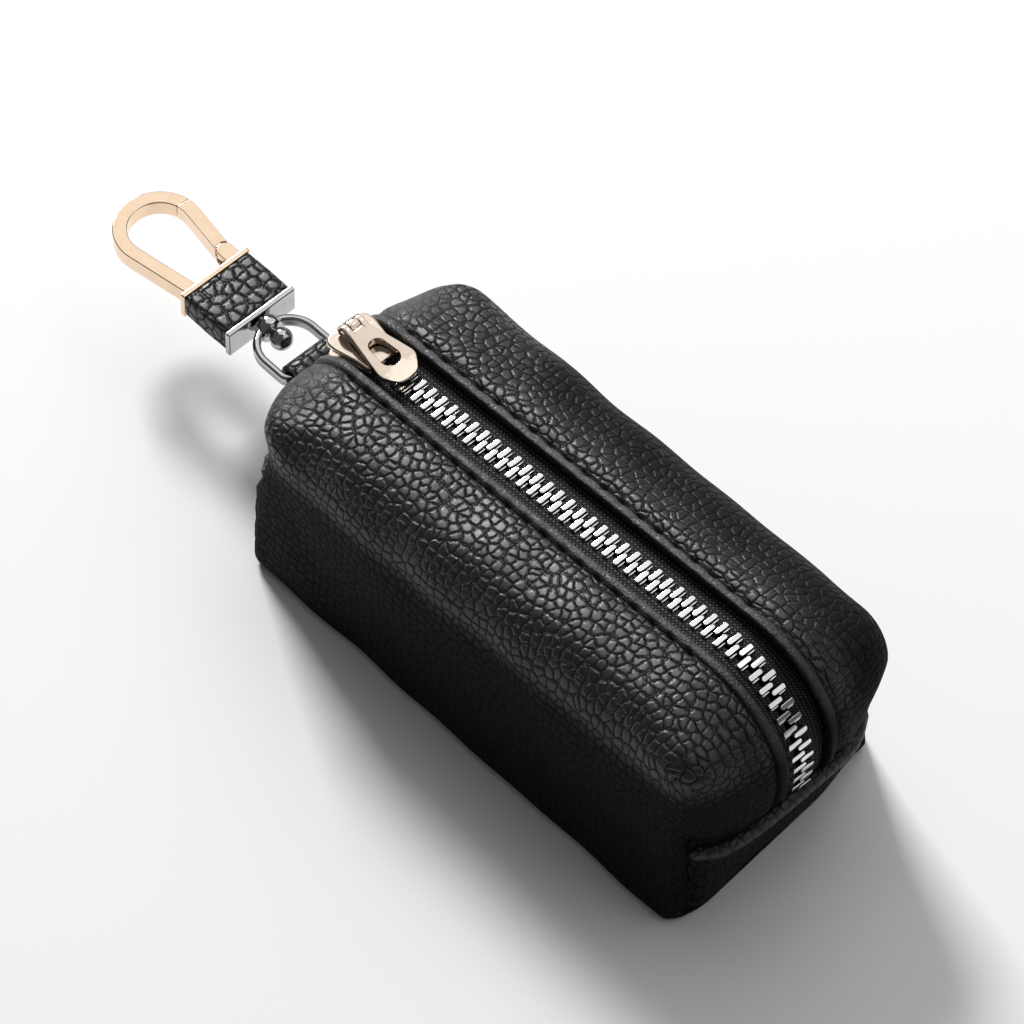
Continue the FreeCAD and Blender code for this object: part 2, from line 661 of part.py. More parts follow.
def far_tooth_shape():
    """Fixed teeth placed by arc length along the turned-down end of the zip."""
    depth = tape_top.number + d.tape_half.number
    tilt = math.radians(d.track_tilt.number)
    radius = far_round.number - depth
    slope = math.atan2(d.top_far_x.number - d.seam_far_x.number, top_far.number - d.seam_z.number)
    # the centre of the rounding, from the two straight lines it touches
    pivot = Vector(d.pivot_x.number * math.cos(tilt), 0, d.track_z.number + d.pivot_x.number * math.sin(tilt))
    along = Vector(math.cos(tilt), 0, math.sin(tilt))
    normal = Vector(-math.sin(tilt), 0, math.cos(tilt))
    end_normal = Vector(math.cos(slope), 0, -math.sin(slope))
    end_point = Vector(d.seam_far_x.number - depth, 0, d.seam_z.number)
    base = pivot - normal * radius
    run = (end_normal.dot(end_point) - radius - end_normal.dot(base)) / end_normal.dot(along)
    centre = base + along * run
    sweep = math.acos(normal.dot(end_normal))
    half_pitch = d.tooth_pitch.number / 2
    solids = []
    for i in range(int(d.far_tooth_count.number) * 2):
        s = d.far_tooth_start.number + i * half_pitch + d.tooth_length.number / 2
        if s < run:
            point = pivot + along * s
            turn = -math.degrees(tilt)
        elif s < run + radius * sweep:
            bend = (s - run) / radius
            turn = -math.degrees(tilt) + math.degrees(bend)
            point = centre + (normal * math.cos(bend) + along * math.sin(bend)) * radius
        else:
            bend = sweep
            turn = -math.degrees(tilt) + math.degrees(bend)
            tangent = along * math.cos(bend) - normal * math.sin(bend)
            point = centre + (normal * math.cos(bend) + along * math.sin(bend)) * radius
            point = point + tangent * (s - run - radius * sweep)
        length = d.tooth_length.number
        half = d.tooth_half.number
        wide_y = d.tooth_root_y.number + d.tooth_reach.number
        low = -d.tooth_reach.number if i % 2 else -d.tooth_root_y.number
        tooth = Part.makeBox(length, wide_y, half * 2, Vector(-length / 2, low, -half))
        gap = d.tape_half.number + d.tooth_slot.number
        grip = d.tape_inner_y.number - d.tooth_slot.number
        grip_low = grip if i % 2 else -d.tape_outer_y.number
        groove = Part.makeBox(length * 2, d.tape_outer_y.number - grip, gap * 2, Vector(-length, grip_low, -gap))
        tooth = tooth.cut(groove)
        tooth.Placement = Placement(point, Rotation(Vector(0, 1, 0), turn))
        solids.append(tooth)
    return Part.makeCompound(solids)


far_teeth = doc.addObject("Part::Feature", "far_teeth")
far_teeth.Shape = far_tooth_shape()

# The far tape leaves a gap between its two halves for the teeth.
far_split = box("far_tape_split", (-far, -d.tape_inner_y, -d.form_height),
                (far, d.tape_inner_y, d.form_height), True)
far_tape = cut("far_tape_pair", far_tape, far_split)

# Slider: two plates, four side flanges, a neck at the front and a lug for the pull.
rear = -d.slider_rear_back
nose = -d.slider_rear_back - d.slider_length
plate_top = d.slider_gap_half + d.slider_plate


def slider_plate(name, low):
    body, sketch = new_body(name, "XY_Plane")
    polygon(sketch, [(nose, -d.slider_half), (rear, -d.slider_half),
                     (rear, d.slider_half), (nose, d.slider_half)])
    bind(sketch, "AttachmentOffset.Base.z", low)
    feature = pad(body, sketch, d.slider_plate, False)
    fillet(body, feature, d.slider_corner_r, lambda e, p: runs_along(e, (0, 0, 1)), name + "_corners")
    return on_track(body)


def slider_flange(name, side, upper):
    inner = d.slider_half - d.slider_flange
    low_y, high_y = (inner, d.slider_half) if side > 0 else (-d.slider_half, -inner)
    if upper:
        low_z, high_z = d.slider_flange_half, plate_top
    else:
        low_z, high_z = -plate_top, -d.slider_flange_half
    return box(name, (nose + d.slider_corner_r, low_y, low_z), (rear - d.slider_corner_r, high_y, high_z), True)


neck_high = rear - d.neck_start
lug_block = box("lug_block", (-d.lug_back - d.lug_r, -d.lug_half, d.slider_gap_half),
                (-d.lug_back + d.lug_r, d.lug_half, d.lug_z), True)


def track_y_cylinder(name, radius, half, x, z):
    obj = doc.addObject("Part::Cylinder", name)
    bind(obj, "Radius", radius)
    bind(obj, "Height", half * 2)
    return place(obj, x * TILT_COS - z * TILT_SIN, half, d.track_z + x * TILT_SIN + z * TILT_COS,
                 (1, 0, 0), RIGHT_ANGLE)


slider_solid = fuse(
    "slider_solid",
    slider_plate("slider_top", d.slider_gap_half),
    slider_plate("slider_under", -plate_top),
    slider_flange("flange_left_upper", -1, True), slider_flange("flange_left_lower", -1, False),
    slider_flange("flange_right_upper", 1, True), slider_flange("flange_right_lower", 1, False),
    box("slider_neck", (neck_high - d.neck_length, -d.neck_half, -plate_top),
        (neck_high, d.neck_half, plate_top), True),
    lug_block,
    track_y_cylinder("lug_round", d.lug_r, d.lug_half, -d.lug_back, d.lug_z))
slider_body = cut("slider_body", slider_solid,
                  track_y_cylinder("lug_bore", d.pull_pin_r + d.running_gap, d.lug_half * 2, -d.lug_back, d.lug_z))

# Pull tab: a plate with an oval window, two arms and the pin that turns in the lug.
arm_in = d.lug_half + d.side_gap
arm_out = arm_in + d.pull_arm
pull_plate, pull_sketch = new_body("pull_plate", "XY_Plane")
polygon(pull_sketch, [
    (ZERO - d.pull_pin_r, -arm_out), (d.pull_neck_x, -arm_out), (d.pull_wide_x, -d.pull_wide_half),
    (d.pull_tip_x, -d.pull_tip_half), (d.pull_tip_x, d.pull_tip_half), (d.pull_wide_x, d.pull_wide_half),
    (d.pull_neck_x, arm_out), (ZERO - d.pull_pin_r, arm_out)])
pad(pull_plate, pull_sketch, d.pull_half * 2)


def lay_pull(obj):
    """Hang a pull piece on the lug, falling a little towards its tip."""
    return place(obj, -d.lug_back * TILT_COS - d.lug_z * TILT_SIN, ZERO,
                 d.track_z - d.lug_back * TILT_SIN + d.lug_z * TILT_COS,
                 (0, -1, 0), d.track_tilt - d.pull_slope)


window_body, window_sketch = new_body("pull_window", "XY_Plane")
polygon(window_sketch, [
    (d.pull_window_x - d.pull_window_half, -d.pull_window_r), (d.pull_window_x + d.pull_window_half, -d.pull_window_r),
    (d.pull_window_x + d.pull_window_half, d.pull_window_r), (d.pull_window_x - d.pull_window_half, d.pull_window_r)])
pad(window_body, window_sketch, d.pull_half * 6)
window_ends, ends_sketch = new_body("pull_window_ends", "XY_Plane")
circle(ends_sketch, d.pull_window_x - d.pull_window_half, d.pull_window_r)
pad(window_ends, ends_sketch, d.pull_half * 6)
window_tip, tip_sketch = new_body("pull_window_tip", "XY_Plane")
circle(tip_sketch, d.pull_window_x + d.pull_window_half, d.pull_window_r)
pad(window_tip, tip_sketch, d.pull_half * 6)
fork_body, fork_sketch = new_body("pull_fork", "XY_Plane")
polygon(fork_sketch, [(-d.pull_neck_x, -arm_in), (d.pull_neck_x - d.side_gap, -arm_in),
                      (d.pull_neck_x - d.side_gap, arm_in), (-d.pull_neck_x, arm_in)])
pad(fork_body, fork_sketch, d.pull_half * 6)
for piece in (pull_plate, window_body, window_ends, window_tip, fork_body):
    lay_pull(piece)
pull_open = cut("pull_open", pull_plate, fuse("pull_holes", window_body, window_ends, window_tip, fork_body))
pull_tab = fuse("pull_tab", pull_open,
                track_y_cylinder("pull_pin", d.pull_pin_r, arm_out, -d.lug_back, d.lug_z))

# Loop tab, D ring and swivel post.
tab_body, tab_sketch = new_body("loop_tab", "XZ_Plane")
teardrop(tab_sketch, -d.tab_root_back, d.tab_root_half, -d.ring_bar_back, d.tab_eye_r + d.tab_leather)
circle(tab_sketch, -d.ring_bar_back, d.tab_eye_r)
pad(tab_body, tab_sketch, d.tab_half_width * 2)
place(tab_body, ZERO, ZERO, d.clip_z)
loop_tab = tab_body


def ring_blank(name, inset, height):
    """The D outline: a straight bar and a round end."""
    half = d.ring_half_width - inset
    bar = -d.ring_bar_back + d.ring_strip / 2 - inset
    plate = box(name + "_straight", (-d.ring_arc_back, -half, d.clip_z - height), (bar, half, d.clip_z + height))
    end = cylinder(name + "_round", half, height * 2, -d.ring_arc_back, ZERO, d.clip_z - height)
    return fuse(name, plate, end)


ring_strip = cut("ring_strip", ring_blank("ring_outer", ZERO, d.ring_half_height),
                 ring_blank("ring_inner", d.ring_strip, d.ring_half_height * 2))
ring_boss = x_cylinder("ring_boss", d.boss_r, -d.boss_outer_back, -d.boss_inner_back, ZERO, d.clip_z)
d_ring = cut("d_ring", fuse("ring_solid", ring_strip, ring_boss),
             x_cylinder("ring_bore", d.post_r + d.running_gap, -d.boss_outer_back - d.post_r,
                        -d.boss_inner_back + d.post_r, ZERO, d.clip_z))

ball = doc.addObject("Part::Sphere", "post_ball")
bind(ball, "Radius", d.ball_r)
place(ball, -d.ball_back, ZERO, d.clip_z)
ball_flat = box("ball_flat", (-d.boss_outer_back, -wide, -tall), (-d.boss_inner_back + d.running_gap, wide, tall))
swivel_post = fuse("swivel_post", cut("post_head", ball, ball_flat),
                   x_cylinder("post_shaft", d.post_r, -d.post_end_back, -d.ball_back, ZERO, d.clip_z))

# Clip frame: two flanges, the core between them and the hook, one casting.


def clip_box(name, x_low, x_high, half_y, half_z):
    return box(name, (x_low, -half_y, d.clip_z - half_z), (x_high, half_y, d.clip_z + half_z))


def hook_blank(name, inset, height):
    body, sketch = new_body(name, "XY_Plane")
    teardrop(sketch, -d.flange_upper_back + d.hook_overlap, d.hook_base_half - inset,
             -d.hook_centre_back, d.hook_r - inset)
    pad(body, sketch, height * 2)
    return place(body, ZERO, ZERO, d.clip_z)


hook_band = cut("hook_band", hook_blank("hook_outer", ZERO, d.hook_half_height),
                hook_blank("hook_inner", d.hook_bar, d.hook_half_height * 2))


def at_gate(name, radius, half):
    return cylinder(name, radius, half * 2, -d.gate_pin_back, d.gate_pin_y, d.clip_z - half)


gate_side = box("gate_side", (-d.form_length, ZERO, -tall), (-d.gate_pin_back, wide, tall))
gate_cut = common("gate_cut", gate_side, at_gate("seat_round", d.seat_r + d.gate_gap, d.hook_half_height * 2))
hook_arm = cut("hook_arm", hook_band, gate_cut)

clip_solid = fuse(
    "clip_solid",
    clip_box("flange_lower", -d.flange_lower_back - d.flange_thick, -d.flange_lower_back,
             d.flange_half_width, d.flange_half_height),
    clip_box("flange_upper", -d.flange_upper_back, -d.flange_upper_back + d.flange_thick,
             d.flange_half_width, d.flange_half_height),
    clip_box("clip_core", -d.flange_upper_back, -d.flange_lower_back, d.core_half_width, d.core_half_height),
    hook_arm,
    at_gate("foot_round", d.foot_r, d.hook_half_height))
tongue_slot = d.tongue_half + d.gate_gap
foot_slot = box("foot_slot", (-d.gate_pin_back - d.foot_r * 2, ZERO, d.clip_z - tongue_slot),
                (-d.foot_slot_back, wide, d.clip_z + tongue_slot))
clip_frame = cut("clip_frame", clip_solid, fuse(
    "clip_cuts", foot_slot,
    at_gate("pin_bore", d.gate_pin_r + d.running_gap, d.hook_half_height * 2),
    x_cylinder("post_bore", d.post_r + d.running_gap, -d.post_end_back - d.running_gap,
               -d.boss_outer_back, ZERO, d.clip_z)))

sleeve_low = -d.flange_upper_back + d.flange_thick + d.sleeve_gap
sleeve_high = -d.flange_lower_back - d.flange_thick - d.sleeve_gap
leather_sleeve = cut(
    "leather_sleeve",
    clip_box("sleeve_outer", sleeve_low, sleeve_high, d.sleeve_half_width, d.sleeve_half_height),
    clip_box("sleeve_inner", sleeve_low - d.flange_thick, sleeve_high + d.flange_thick,
             d.core_half_width + d.sleeve_gap, d.core_half_height + d.sleeve_gap))

gate_tip = at_gate("gate_tip", d.seat_r, d.hook_half_height * 2)
gate_bar = cut("gate_bar", common("gate_strip", hook_band, gate_side, gate_tip),
               at_gate("gate_clear", d.foot_r + d.gate_gap, d.hook_half_height * 2))
tongue_link = box("tongue_link",
                  (-d.gate_pin_back - d.tongue_run, d.gate_pin_y - d.tongue_width / 2, d.clip_z - d.tongue_half),
                  (-d.gate_pin_back, d.gate_pin_y + d.tongue_width / 2, d.clip_z + d.tongue_half))
gate = cut("gate", fuse("gate_solid", gate_bar, tongue_link,
                        at_gate("tongue_round", d.tongue_r, d.tongue_half)),
           at_gate("gate_bore", d.gate_pin_r + d.running_gap, d.hook_half_height * 2))
gate_pin = at_gate("gate_pin", d.gate_pin_r, d.hook_half_height)
leaf_y = d.gate_pin_y + d.tongue_r + d.leaf_gap
gate_spring = box("gate_spring", (-d.gate_pin_back - d.tongue_r / 2, leaf_y, d.clip_z - d.leaf_half),
                  (-d.foot_slot_back - d.leaf_gap, leaf_y + d.leaf_thick, d.clip_z + d.leaf_half))

# Inner strap and key ring.
strap_body, strap_sketch = new_body("inner_strap", "XZ_Plane")
teardrop(strap_sketch, -d.strap_root_back, d.strap_root_half, -d.strap_eye_back, d.strap_eye_r + d.strap_leather)
circle(strap_sketch, -d.strap_eye_back, d.strap_eye_r)
pad(strap_body, strap_sketch, d.strap_half_width * 2)
place(strap_body, ZERO, ZERO, d.strap_eye_z)
inner_strap = strap_body

key_body, key_sketch = new_body("key_ring", "XY_Plane")
key_centre = d.key_ring_r - d.key_ring_strip / 2
circle(key_sketch, key_centre, d.key_ring_r)
circle(key_sketch, key_centre, d.key_ring_r - d.key_ring_strip)
pad(key_body, key_sketch, d.key_ring_strip)
place(key_body, -d.strap_eye_back, ZERO, d.strap_eye_z, (0, 1, 0), d.key_ring_tilt)
key_ring = key_body

doc.recompute()

NODES = {
    "left_panel": left_panel, "right_panel": right_panel, "bottom_panel": bottom_panel, "lining": lining,
    "left_stitches": left_stitches, "right_stitches": right_stitches,
    "left_tape": left_tape, "right_tape": right_tape, "left_teeth": left_teeth, "right_teeth": right_teeth,
    "far_tape": far_tape, "far_teeth": far_teeth, "loop_end_tape": loop_end_tape,
    "slider_body": slider_body, "pull_tab": pull_tab,
    "loop_tab": loop_tab, "d_ring": d_ring, "swivel_post": swivel_post, "clip_frame": clip_frame,
    "leather_sleeve": leather_sleeve, "gate": gate, "gate_pin": gate_pin, "gate_spring": gate_spring,
    "inner_strap": inner_strap, "key_ring": key_ring,
}

for obj in doc.Objects:
    if "Invalid" in obj.State or "Error" in obj.State:
        raise RuntimeError("%s failed: %s" % (obj.Name, obj.State))

os.makedirs("parts", exist_ok=True)
for node, obj in NODES.items():
    shape = obj.Shape
    if shape.isNull() or not shape.isValid() or not shape.Solids:
        raise RuntimeError("%s has no valid solid" % node)
    shape.exportStep("parts/%s.step" % node)
    box_of = shape.BoundBox
    print("%-16s solids %3d  volume %9.2f  x %7.2f..%7.2f  y %7.2f..%7.2f  z %7.2f..%7.2f" % (
        node, len(shape.Solids), shape.Volume, box_of.XMin, box_of.XMax,
        box_of.YMin, box_of.YMax, box_of.ZMin, box_of.ZMax))
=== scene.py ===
import math
import bpy
import numpy as np
from mathutils import Matrix, Vector


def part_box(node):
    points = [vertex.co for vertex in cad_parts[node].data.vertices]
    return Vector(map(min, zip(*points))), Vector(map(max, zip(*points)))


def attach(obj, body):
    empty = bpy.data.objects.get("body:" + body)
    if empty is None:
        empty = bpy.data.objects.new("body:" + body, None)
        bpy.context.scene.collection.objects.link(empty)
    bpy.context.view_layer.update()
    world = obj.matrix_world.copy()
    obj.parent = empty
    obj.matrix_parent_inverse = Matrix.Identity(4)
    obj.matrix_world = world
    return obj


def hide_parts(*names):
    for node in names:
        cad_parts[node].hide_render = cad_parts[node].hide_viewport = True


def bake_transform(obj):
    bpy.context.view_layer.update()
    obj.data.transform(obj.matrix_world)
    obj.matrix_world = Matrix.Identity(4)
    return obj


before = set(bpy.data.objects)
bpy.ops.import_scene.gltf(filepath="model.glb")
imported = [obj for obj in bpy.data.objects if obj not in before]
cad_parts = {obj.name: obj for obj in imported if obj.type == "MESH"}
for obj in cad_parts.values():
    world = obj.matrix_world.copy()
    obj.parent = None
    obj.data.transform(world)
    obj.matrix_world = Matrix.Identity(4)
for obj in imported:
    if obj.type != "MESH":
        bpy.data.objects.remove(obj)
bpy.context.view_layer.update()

MM = 0.001

# Sizes of the case in millimetres, in the frame's own axes.
TILT = math.radians(3.2)
COS, SIN, TAN = math.cos(TILT), math.sin(TILT), math.tan(TILT)
TRACK_Z = 41.3  # the zip's middle at x = 0
LEATHER_LIFT = 2.425  # from the zip's middle up to the leather's outside
SEAM_Z = 19.0  # the seams across the two ends
HALF_WIDTH = 25.0
FAR_X, FAR_CREST = 58.6, 60.2  # the far end at its seam and at its fullest
LOOP_X, LOOP_CREST = 58.0, 59.2  # the same for the closed end, where the loop tab is
MOUTH, LIP_Y, STITCH_Y = 5.2, 6.0, 7.0  # a lip's edge, crest and sewn line, from the middle
STITCH_START, STITCH_PITCH, STITCH_COUNT, STITCH_LENGTH = -46.0, 4.4, 19, 3.0
PIVOT = 37.5  # where the two halves of the straight zip meet its far stretch
TOOTH_START, TOOTH_PITCH, TOOTH_COUNT = -45.2 + 0.575, 2.65, 31
FAR_TOOTH_START, FAR_TOOTH_STEP, FAR_TOOTH_COUNT = PIVOT + 0.35, 1.362, 26
TAPE_EDGE, END_TAPE_EDGE = 8.6, 5.9
FAR_SLOPE = math.atan2(FAR_CREST - FAR_X, TRACK_Z + LEATHER_LIFT / COS + FAR_CREST * TAN - SEAM_Z)
SIDES = ((-1, "left"), (1, "right"))


# Modelling helpers

def deselect():
    bpy.ops.object.select_all(action="DESELECT")


def take(obj):
    deselect()
    obj.select_set(True)
    bpy.context.view_layer.objects.active = obj


def places_of(obj):
    co = np.empty(len(obj.data.vertices) * 3)
    obj.data.vertices.foreach_get("co", co)
    return co.reshape(-1, 3) / MM


def settle(obj, places):
    obj.data.vertices.foreach_set("co", (np.asarray(places) * MM).ravel())
    obj.data.update()


def edit(obj, *steps):
    """Run edit-mode steps on everything in a piece."""
    take(obj)
    bpy.ops.object.mode_set(mode="EDIT")
    bpy.ops.mesh.select_all(action="SELECT")
    for step in steps:
        step()
    bpy.ops.object.mode_set(mode="OBJECT")


def merge():
    bpy.ops.mesh.remove_doubles(threshold=1e-6)


def outward():
    bpy.ops.mesh.normals_make_consistent(inside=False)


def close_holes():
    bpy.ops.mesh.fill_holes(sides=0)


def smooth(obj, degrees=40):
    take(obj)
    bpy.ops.object.shade_smooth_by_angle(angle=math.radians(degrees))


def modify(obj, kind, **settings):
    """Add a modifier and apply it."""
    take(obj)
    mod = obj.modifiers.new(kind.title(), kind)
    for key, value in settings.items():
        setattr(mod, key, value)
    bpy.ops.object.modifier_apply(modifier=mod.name)


def face_normals(obj):
    """Keep wide faces flat where they meet their eased edges."""
    smooth(obj)
    modify(obj, "WEIGHTED_NORMAL", keep_sharp=True, weight=80)


def bevel(obj, width, segments=3, degrees=30):
    modify(obj, "BEVEL", width=width * MM, segments=segments, limit_method="ANGLE",
           angle_limit=math.radians(degrees), use_clamp_overlap=True)


def join(name, *parts):
    deselect()
    for part in parts:
        part.select_set(True)
    bpy.context.view_layer.objects.active = parts[0]
    bpy.ops.object.join()
    parts[0].name = parts[0].data.name = name
    return parts[0]


def lengths(places, axis):
    """Mean length run along the rows (axis 0) or the columns (axis 1) of an array of places."""
    step = np.linalg.norm(np.diff(places, axis=axis), axis=-1).mean(axis=1 - axis)
    return np.hstack([[0], np.cumsum(step)])


def lay_flat(obj, u, v):
    """Lengths along and across a piece as its flat layout, one pair for each corner point."""
    corner = np.empty(len(obj.data.loops), int)
    obj.data.loops.foreach_get("vertex_index", corner)
    layer = obj.data.uv_layers.active or obj.data.uv_layers.new(name="UVMap")
    layer.data.foreach_set("uv", (np.column_stack([u, v])[corner] * MM).ravel())


def cloth_grid(name, places, flat=None):
    """A grid laid out by an array of places, rows by columns, with its flat lengths."""
    rows, cols = places.shape[:2]
    deselect()
    bpy.ops.mesh.primitive_grid_add(x_subdivisions=cols - 1, y_subdivisions=rows - 1, size=2)
    obj = bpy.context.object
    co = places_of(obj) * MM
    i = np.rint((co[:, 0] + 1) / 2 * (cols - 1)).astype(int)
    j = np.rint((co[:, 1] + 1) / 2 * (rows - 1)).astype(int)
    settle(obj, places[j, i])
    u, v = flat or (lengths(places, 0), lengths(places, 1))
    lay_flat(obj, u[j], v[i])
    obj.name = name
    return obj


def tube(name, places, capped=True):
    """A closed section carried along a row of places: rows along, columns around."""
    obj = cloth_grid(name, np.concatenate([places, places[:, :1]], axis=1))
    edit(obj, merge)
    if capped:
        edit(obj, close_holes)
    edit(obj, outward)
    return obj


def turned(name, profile, segments=40):
    """A shape turned about the X axis from (x, radius) pairs."""
    x, r = np.array(profile, float).T[..., None]
    angle = np.linspace(0, 2 * math.pi, segments, endpoint=False)
    return tube(name, np.stack([x + 0 * angle, r * np.cos(angle), r * np.sin(angle)], -1))


def drawn(outline, z, fill):
    """A closed line drawn at a height, open or filled."""
    deselect()
    bpy.ops.mesh.primitive_circle_add(vertices=len(outline), radius=1, fill_type=fill)
    settle(bpy.context.object, np.column_stack([outline, np.full(len(outline), z)]))
    return bpy.context.object


def plate(name, outline, low, high, hole=None):
    """A flat outline thickened along Z, with or without a window."""
    obj = drawn(outline, low, "NGON" if hole is None else "NOTHING")
    if hole is not None:
        obj = join(name, obj, drawn(hole, low, "NOTHING"))
        edit(obj, bpy.ops.mesh.bridge_edge_loops)
    lift = {"value": (0, 0, (high - low) * MM)}
    edit(obj, lambda: bpy.ops.mesh.extrude_region_move(TRANSFORM_OT_translate=lift),
         lambda: bpy.ops.mesh.select_all(action="SELECT"), outward)
    obj.name = name
    return obj


def reshape(obj, move):
    """Move every corner of a piece by a rule on its places."""
    settle(obj, move(places_of(obj)))


def on_edge(p):
    """A flat piece stood on its edge."""
    return p[:, [0, 2, 1]]


def shifted(p, axis, by):
    p[:, axis] += by
    return p


def tilted(p, angle):
    """Places turned about the Y axis, a positive angle lifting the X axis."""
    c, s = math.cos(angle), math.sin(angle)
    return np.column_stack([p[:, 0] * c - p[:, 2] * s, p[:, 1], p[:, 0] * s + p[:, 2] * c])


def assemble(name, move, *parts):
    """Join the parts of a metal piece, set it in its place and keep its faces flat."""
    obj = join(name, *parts)
    reshape(obj, move)
    edit(obj, outward)
    face_normals(obj)
    return obj


def arc(centre, radius, start, end, count):
    angle = np.radians(np.linspace(start, end, count))
    return np.column_stack([centre[0] + radius * np.cos(angle), centre[1] + radius * np.sin(angle)])


def spread(outline, count):
    """The same closed outline with evenly spaced points."""
    loop = np.vstack([outline, outline[:1]])
    run = np.hstack([[0], np.cumsum(np.hypot(*np.diff(loop, axis=0).T))])
    at = np.linspace(0, run[-1], count, endpoint=False)
    return np.column_stack([np.interp(at, run, loop[:, k]) for k in (0, 1)])


def repeat(obj, count, pitch):
    """Copies of a piece in a row along the straight zip, in one mesh."""
    modify(obj, "ARRAY", count=count, use_relative_offset=False, use_constant_offset=True,
           constant_offset_displace=(pitch * COS * MM, 0, pitch * SIN * MM))


def ease(low, high, t):
    t = np.clip((t - low) / (high - low), 0, 1)
    return t * t * (3 - 2 * t)


def bump(centre, width, t):
    return np.exp(-((t - centre) / width) ** 2)


# Shader helpers

MIDDLE = (0.5, 0.5, 0.5)
CELL_SCATTER = 0.72


class Wire:
    """A value in a material that can be used in sums."""

    def __init__(self, finish, socket):
        self.finish = finish
        self.socket = socket

    def beside(self, out):
        """Another output of the same node."""
        return Wire(self.finish, self.socket.node.outputs[out])

    def sum(self, operation, a, b):
        return self.finish.node("Math", {"operation": operation}, {0: a, 1: b})

    def __add__(self, other):
        return self.sum("ADD", self, other)

    __radd__ = __add__

    def __mul__(self, other):
        return self.sum("MULTIPLY", self, other)

    __rmul__ = __mul__

    def __sub__(self, other):
        return self.sum("SUBTRACT", self, other)

    def __rsub__(self, other):
        return self.sum("SUBTRACT", other, self)


class Finish:
    """One material and the nodes in it."""

    def __init__(self, name):
        self.material = bpy.data.materials.new(name)
        self.material.use_nodes = True
        self.tree = self.material.node_tree
        self.shader = self.tree.nodes["Principled BSDF"]

    def node(self, kind, settings=None, inputs=None, out=0):
        made = self.tree.nodes.new("ShaderNode" + kind)
        for key, value in (settings or {}).items():
            setattr(made, key, value)
        for key, value in (inputs or {}).items():
            self.put(made.inputs[key], value)
        return Wire(self, made.outputs[out])

    def put(self, socket, value):
        if isinstance(value, Wire):
            self.tree.links.new(value.socket, socket)
        else:
            socket.default_value = (*value, 1.0) if socket.type == "RGBA" else value

    def set(self, **inputs):
        for key, value in inputs.items():
            self.put(self.shader.inputs[key.replace("_", " ")], value)

    def here(self):
        return self.node("TexCoord", out="Object")

    def noise(self, where, scale, detail=2.0, roughness=0.5, out="Fac"):
        return self.node("TexNoise", None, {
            "Vector": where, "Scale": scale, "Detail": detail, "Roughness": roughness}, out)

    def kept(self, name):
        """A value kept on the mesh, one for each of its points."""
        return self.node("Attribute", {"attribute_name": name}, out="Fac")

    def vector(self, operation, a, b, out=0):
        return self.node("VectorMath", {"operation": operation}, {0: a, 1: b}, out)

    def wave(self, along, step):
        return self.node("Math", {"operation": "SINE"}, {0: along * (2 * math.pi / step)})

    def cells(self, where, scale, feature="DISTANCE_TO_EDGE"):
        return self.node("TexVoronoi", {"feature": feature, "voronoi_dimensions": "2D"},
                         {"Vector": where, "Scale": scale, "Randomness": CELL_SCATTER}, "Distance")

    def ramp(self, value, low, high, to_low=0.0, to_high=1.0):
        return self.node("MapRange", {"interpolation_type": "SMOOTHSTEP"}, {
            "Value": value, "From Min": low, "From Max": high, "To Min": to_low, "To Max": to_high})

    def blend(self, share, a, b):
        return self.node("Mix", {"data_type": "RGBA"}, {0: share, 6: a, 7: b}, 2)

    def stir(self, where, scale, amount):
        """Places pushed about by a soft noise, so that cells and lines are not regular."""
        push = self.vector("SUBTRACT", self.noise(where, scale, out="Color"), MIDDLE)
        push = self.node("VectorMath", {"operation": "SCALE"}, {0: push, "Scale": amount})
        return self.vector("ADD", where, push)

    def relief(self, height, depth):
        """Raise a surface by a height from 0 to 1 of a depth in metres."""
        normal = self.node("Bump", None, {"Height": height, "Distance": depth})
        self.set(Normal=normal)
        return normal

    def dull_where(self, share, normal, tone):
        """A matte near-black ground that shows where the share of the main finish falls, painting shade
        there.
        """
        ground = self.node("BsdfPrincipled", None, {
            "Base Color": tone, "Roughness": 0.9, "Specular IOR Level": 0.08, "Normal": normal})
        both = self.node("MixShader", None, {
            0: share, 1: ground, 2: Wire(self, self.shader.outputs[0])})
        self.put(self.tree.nodes["Material Output"].inputs["Surface"], both)


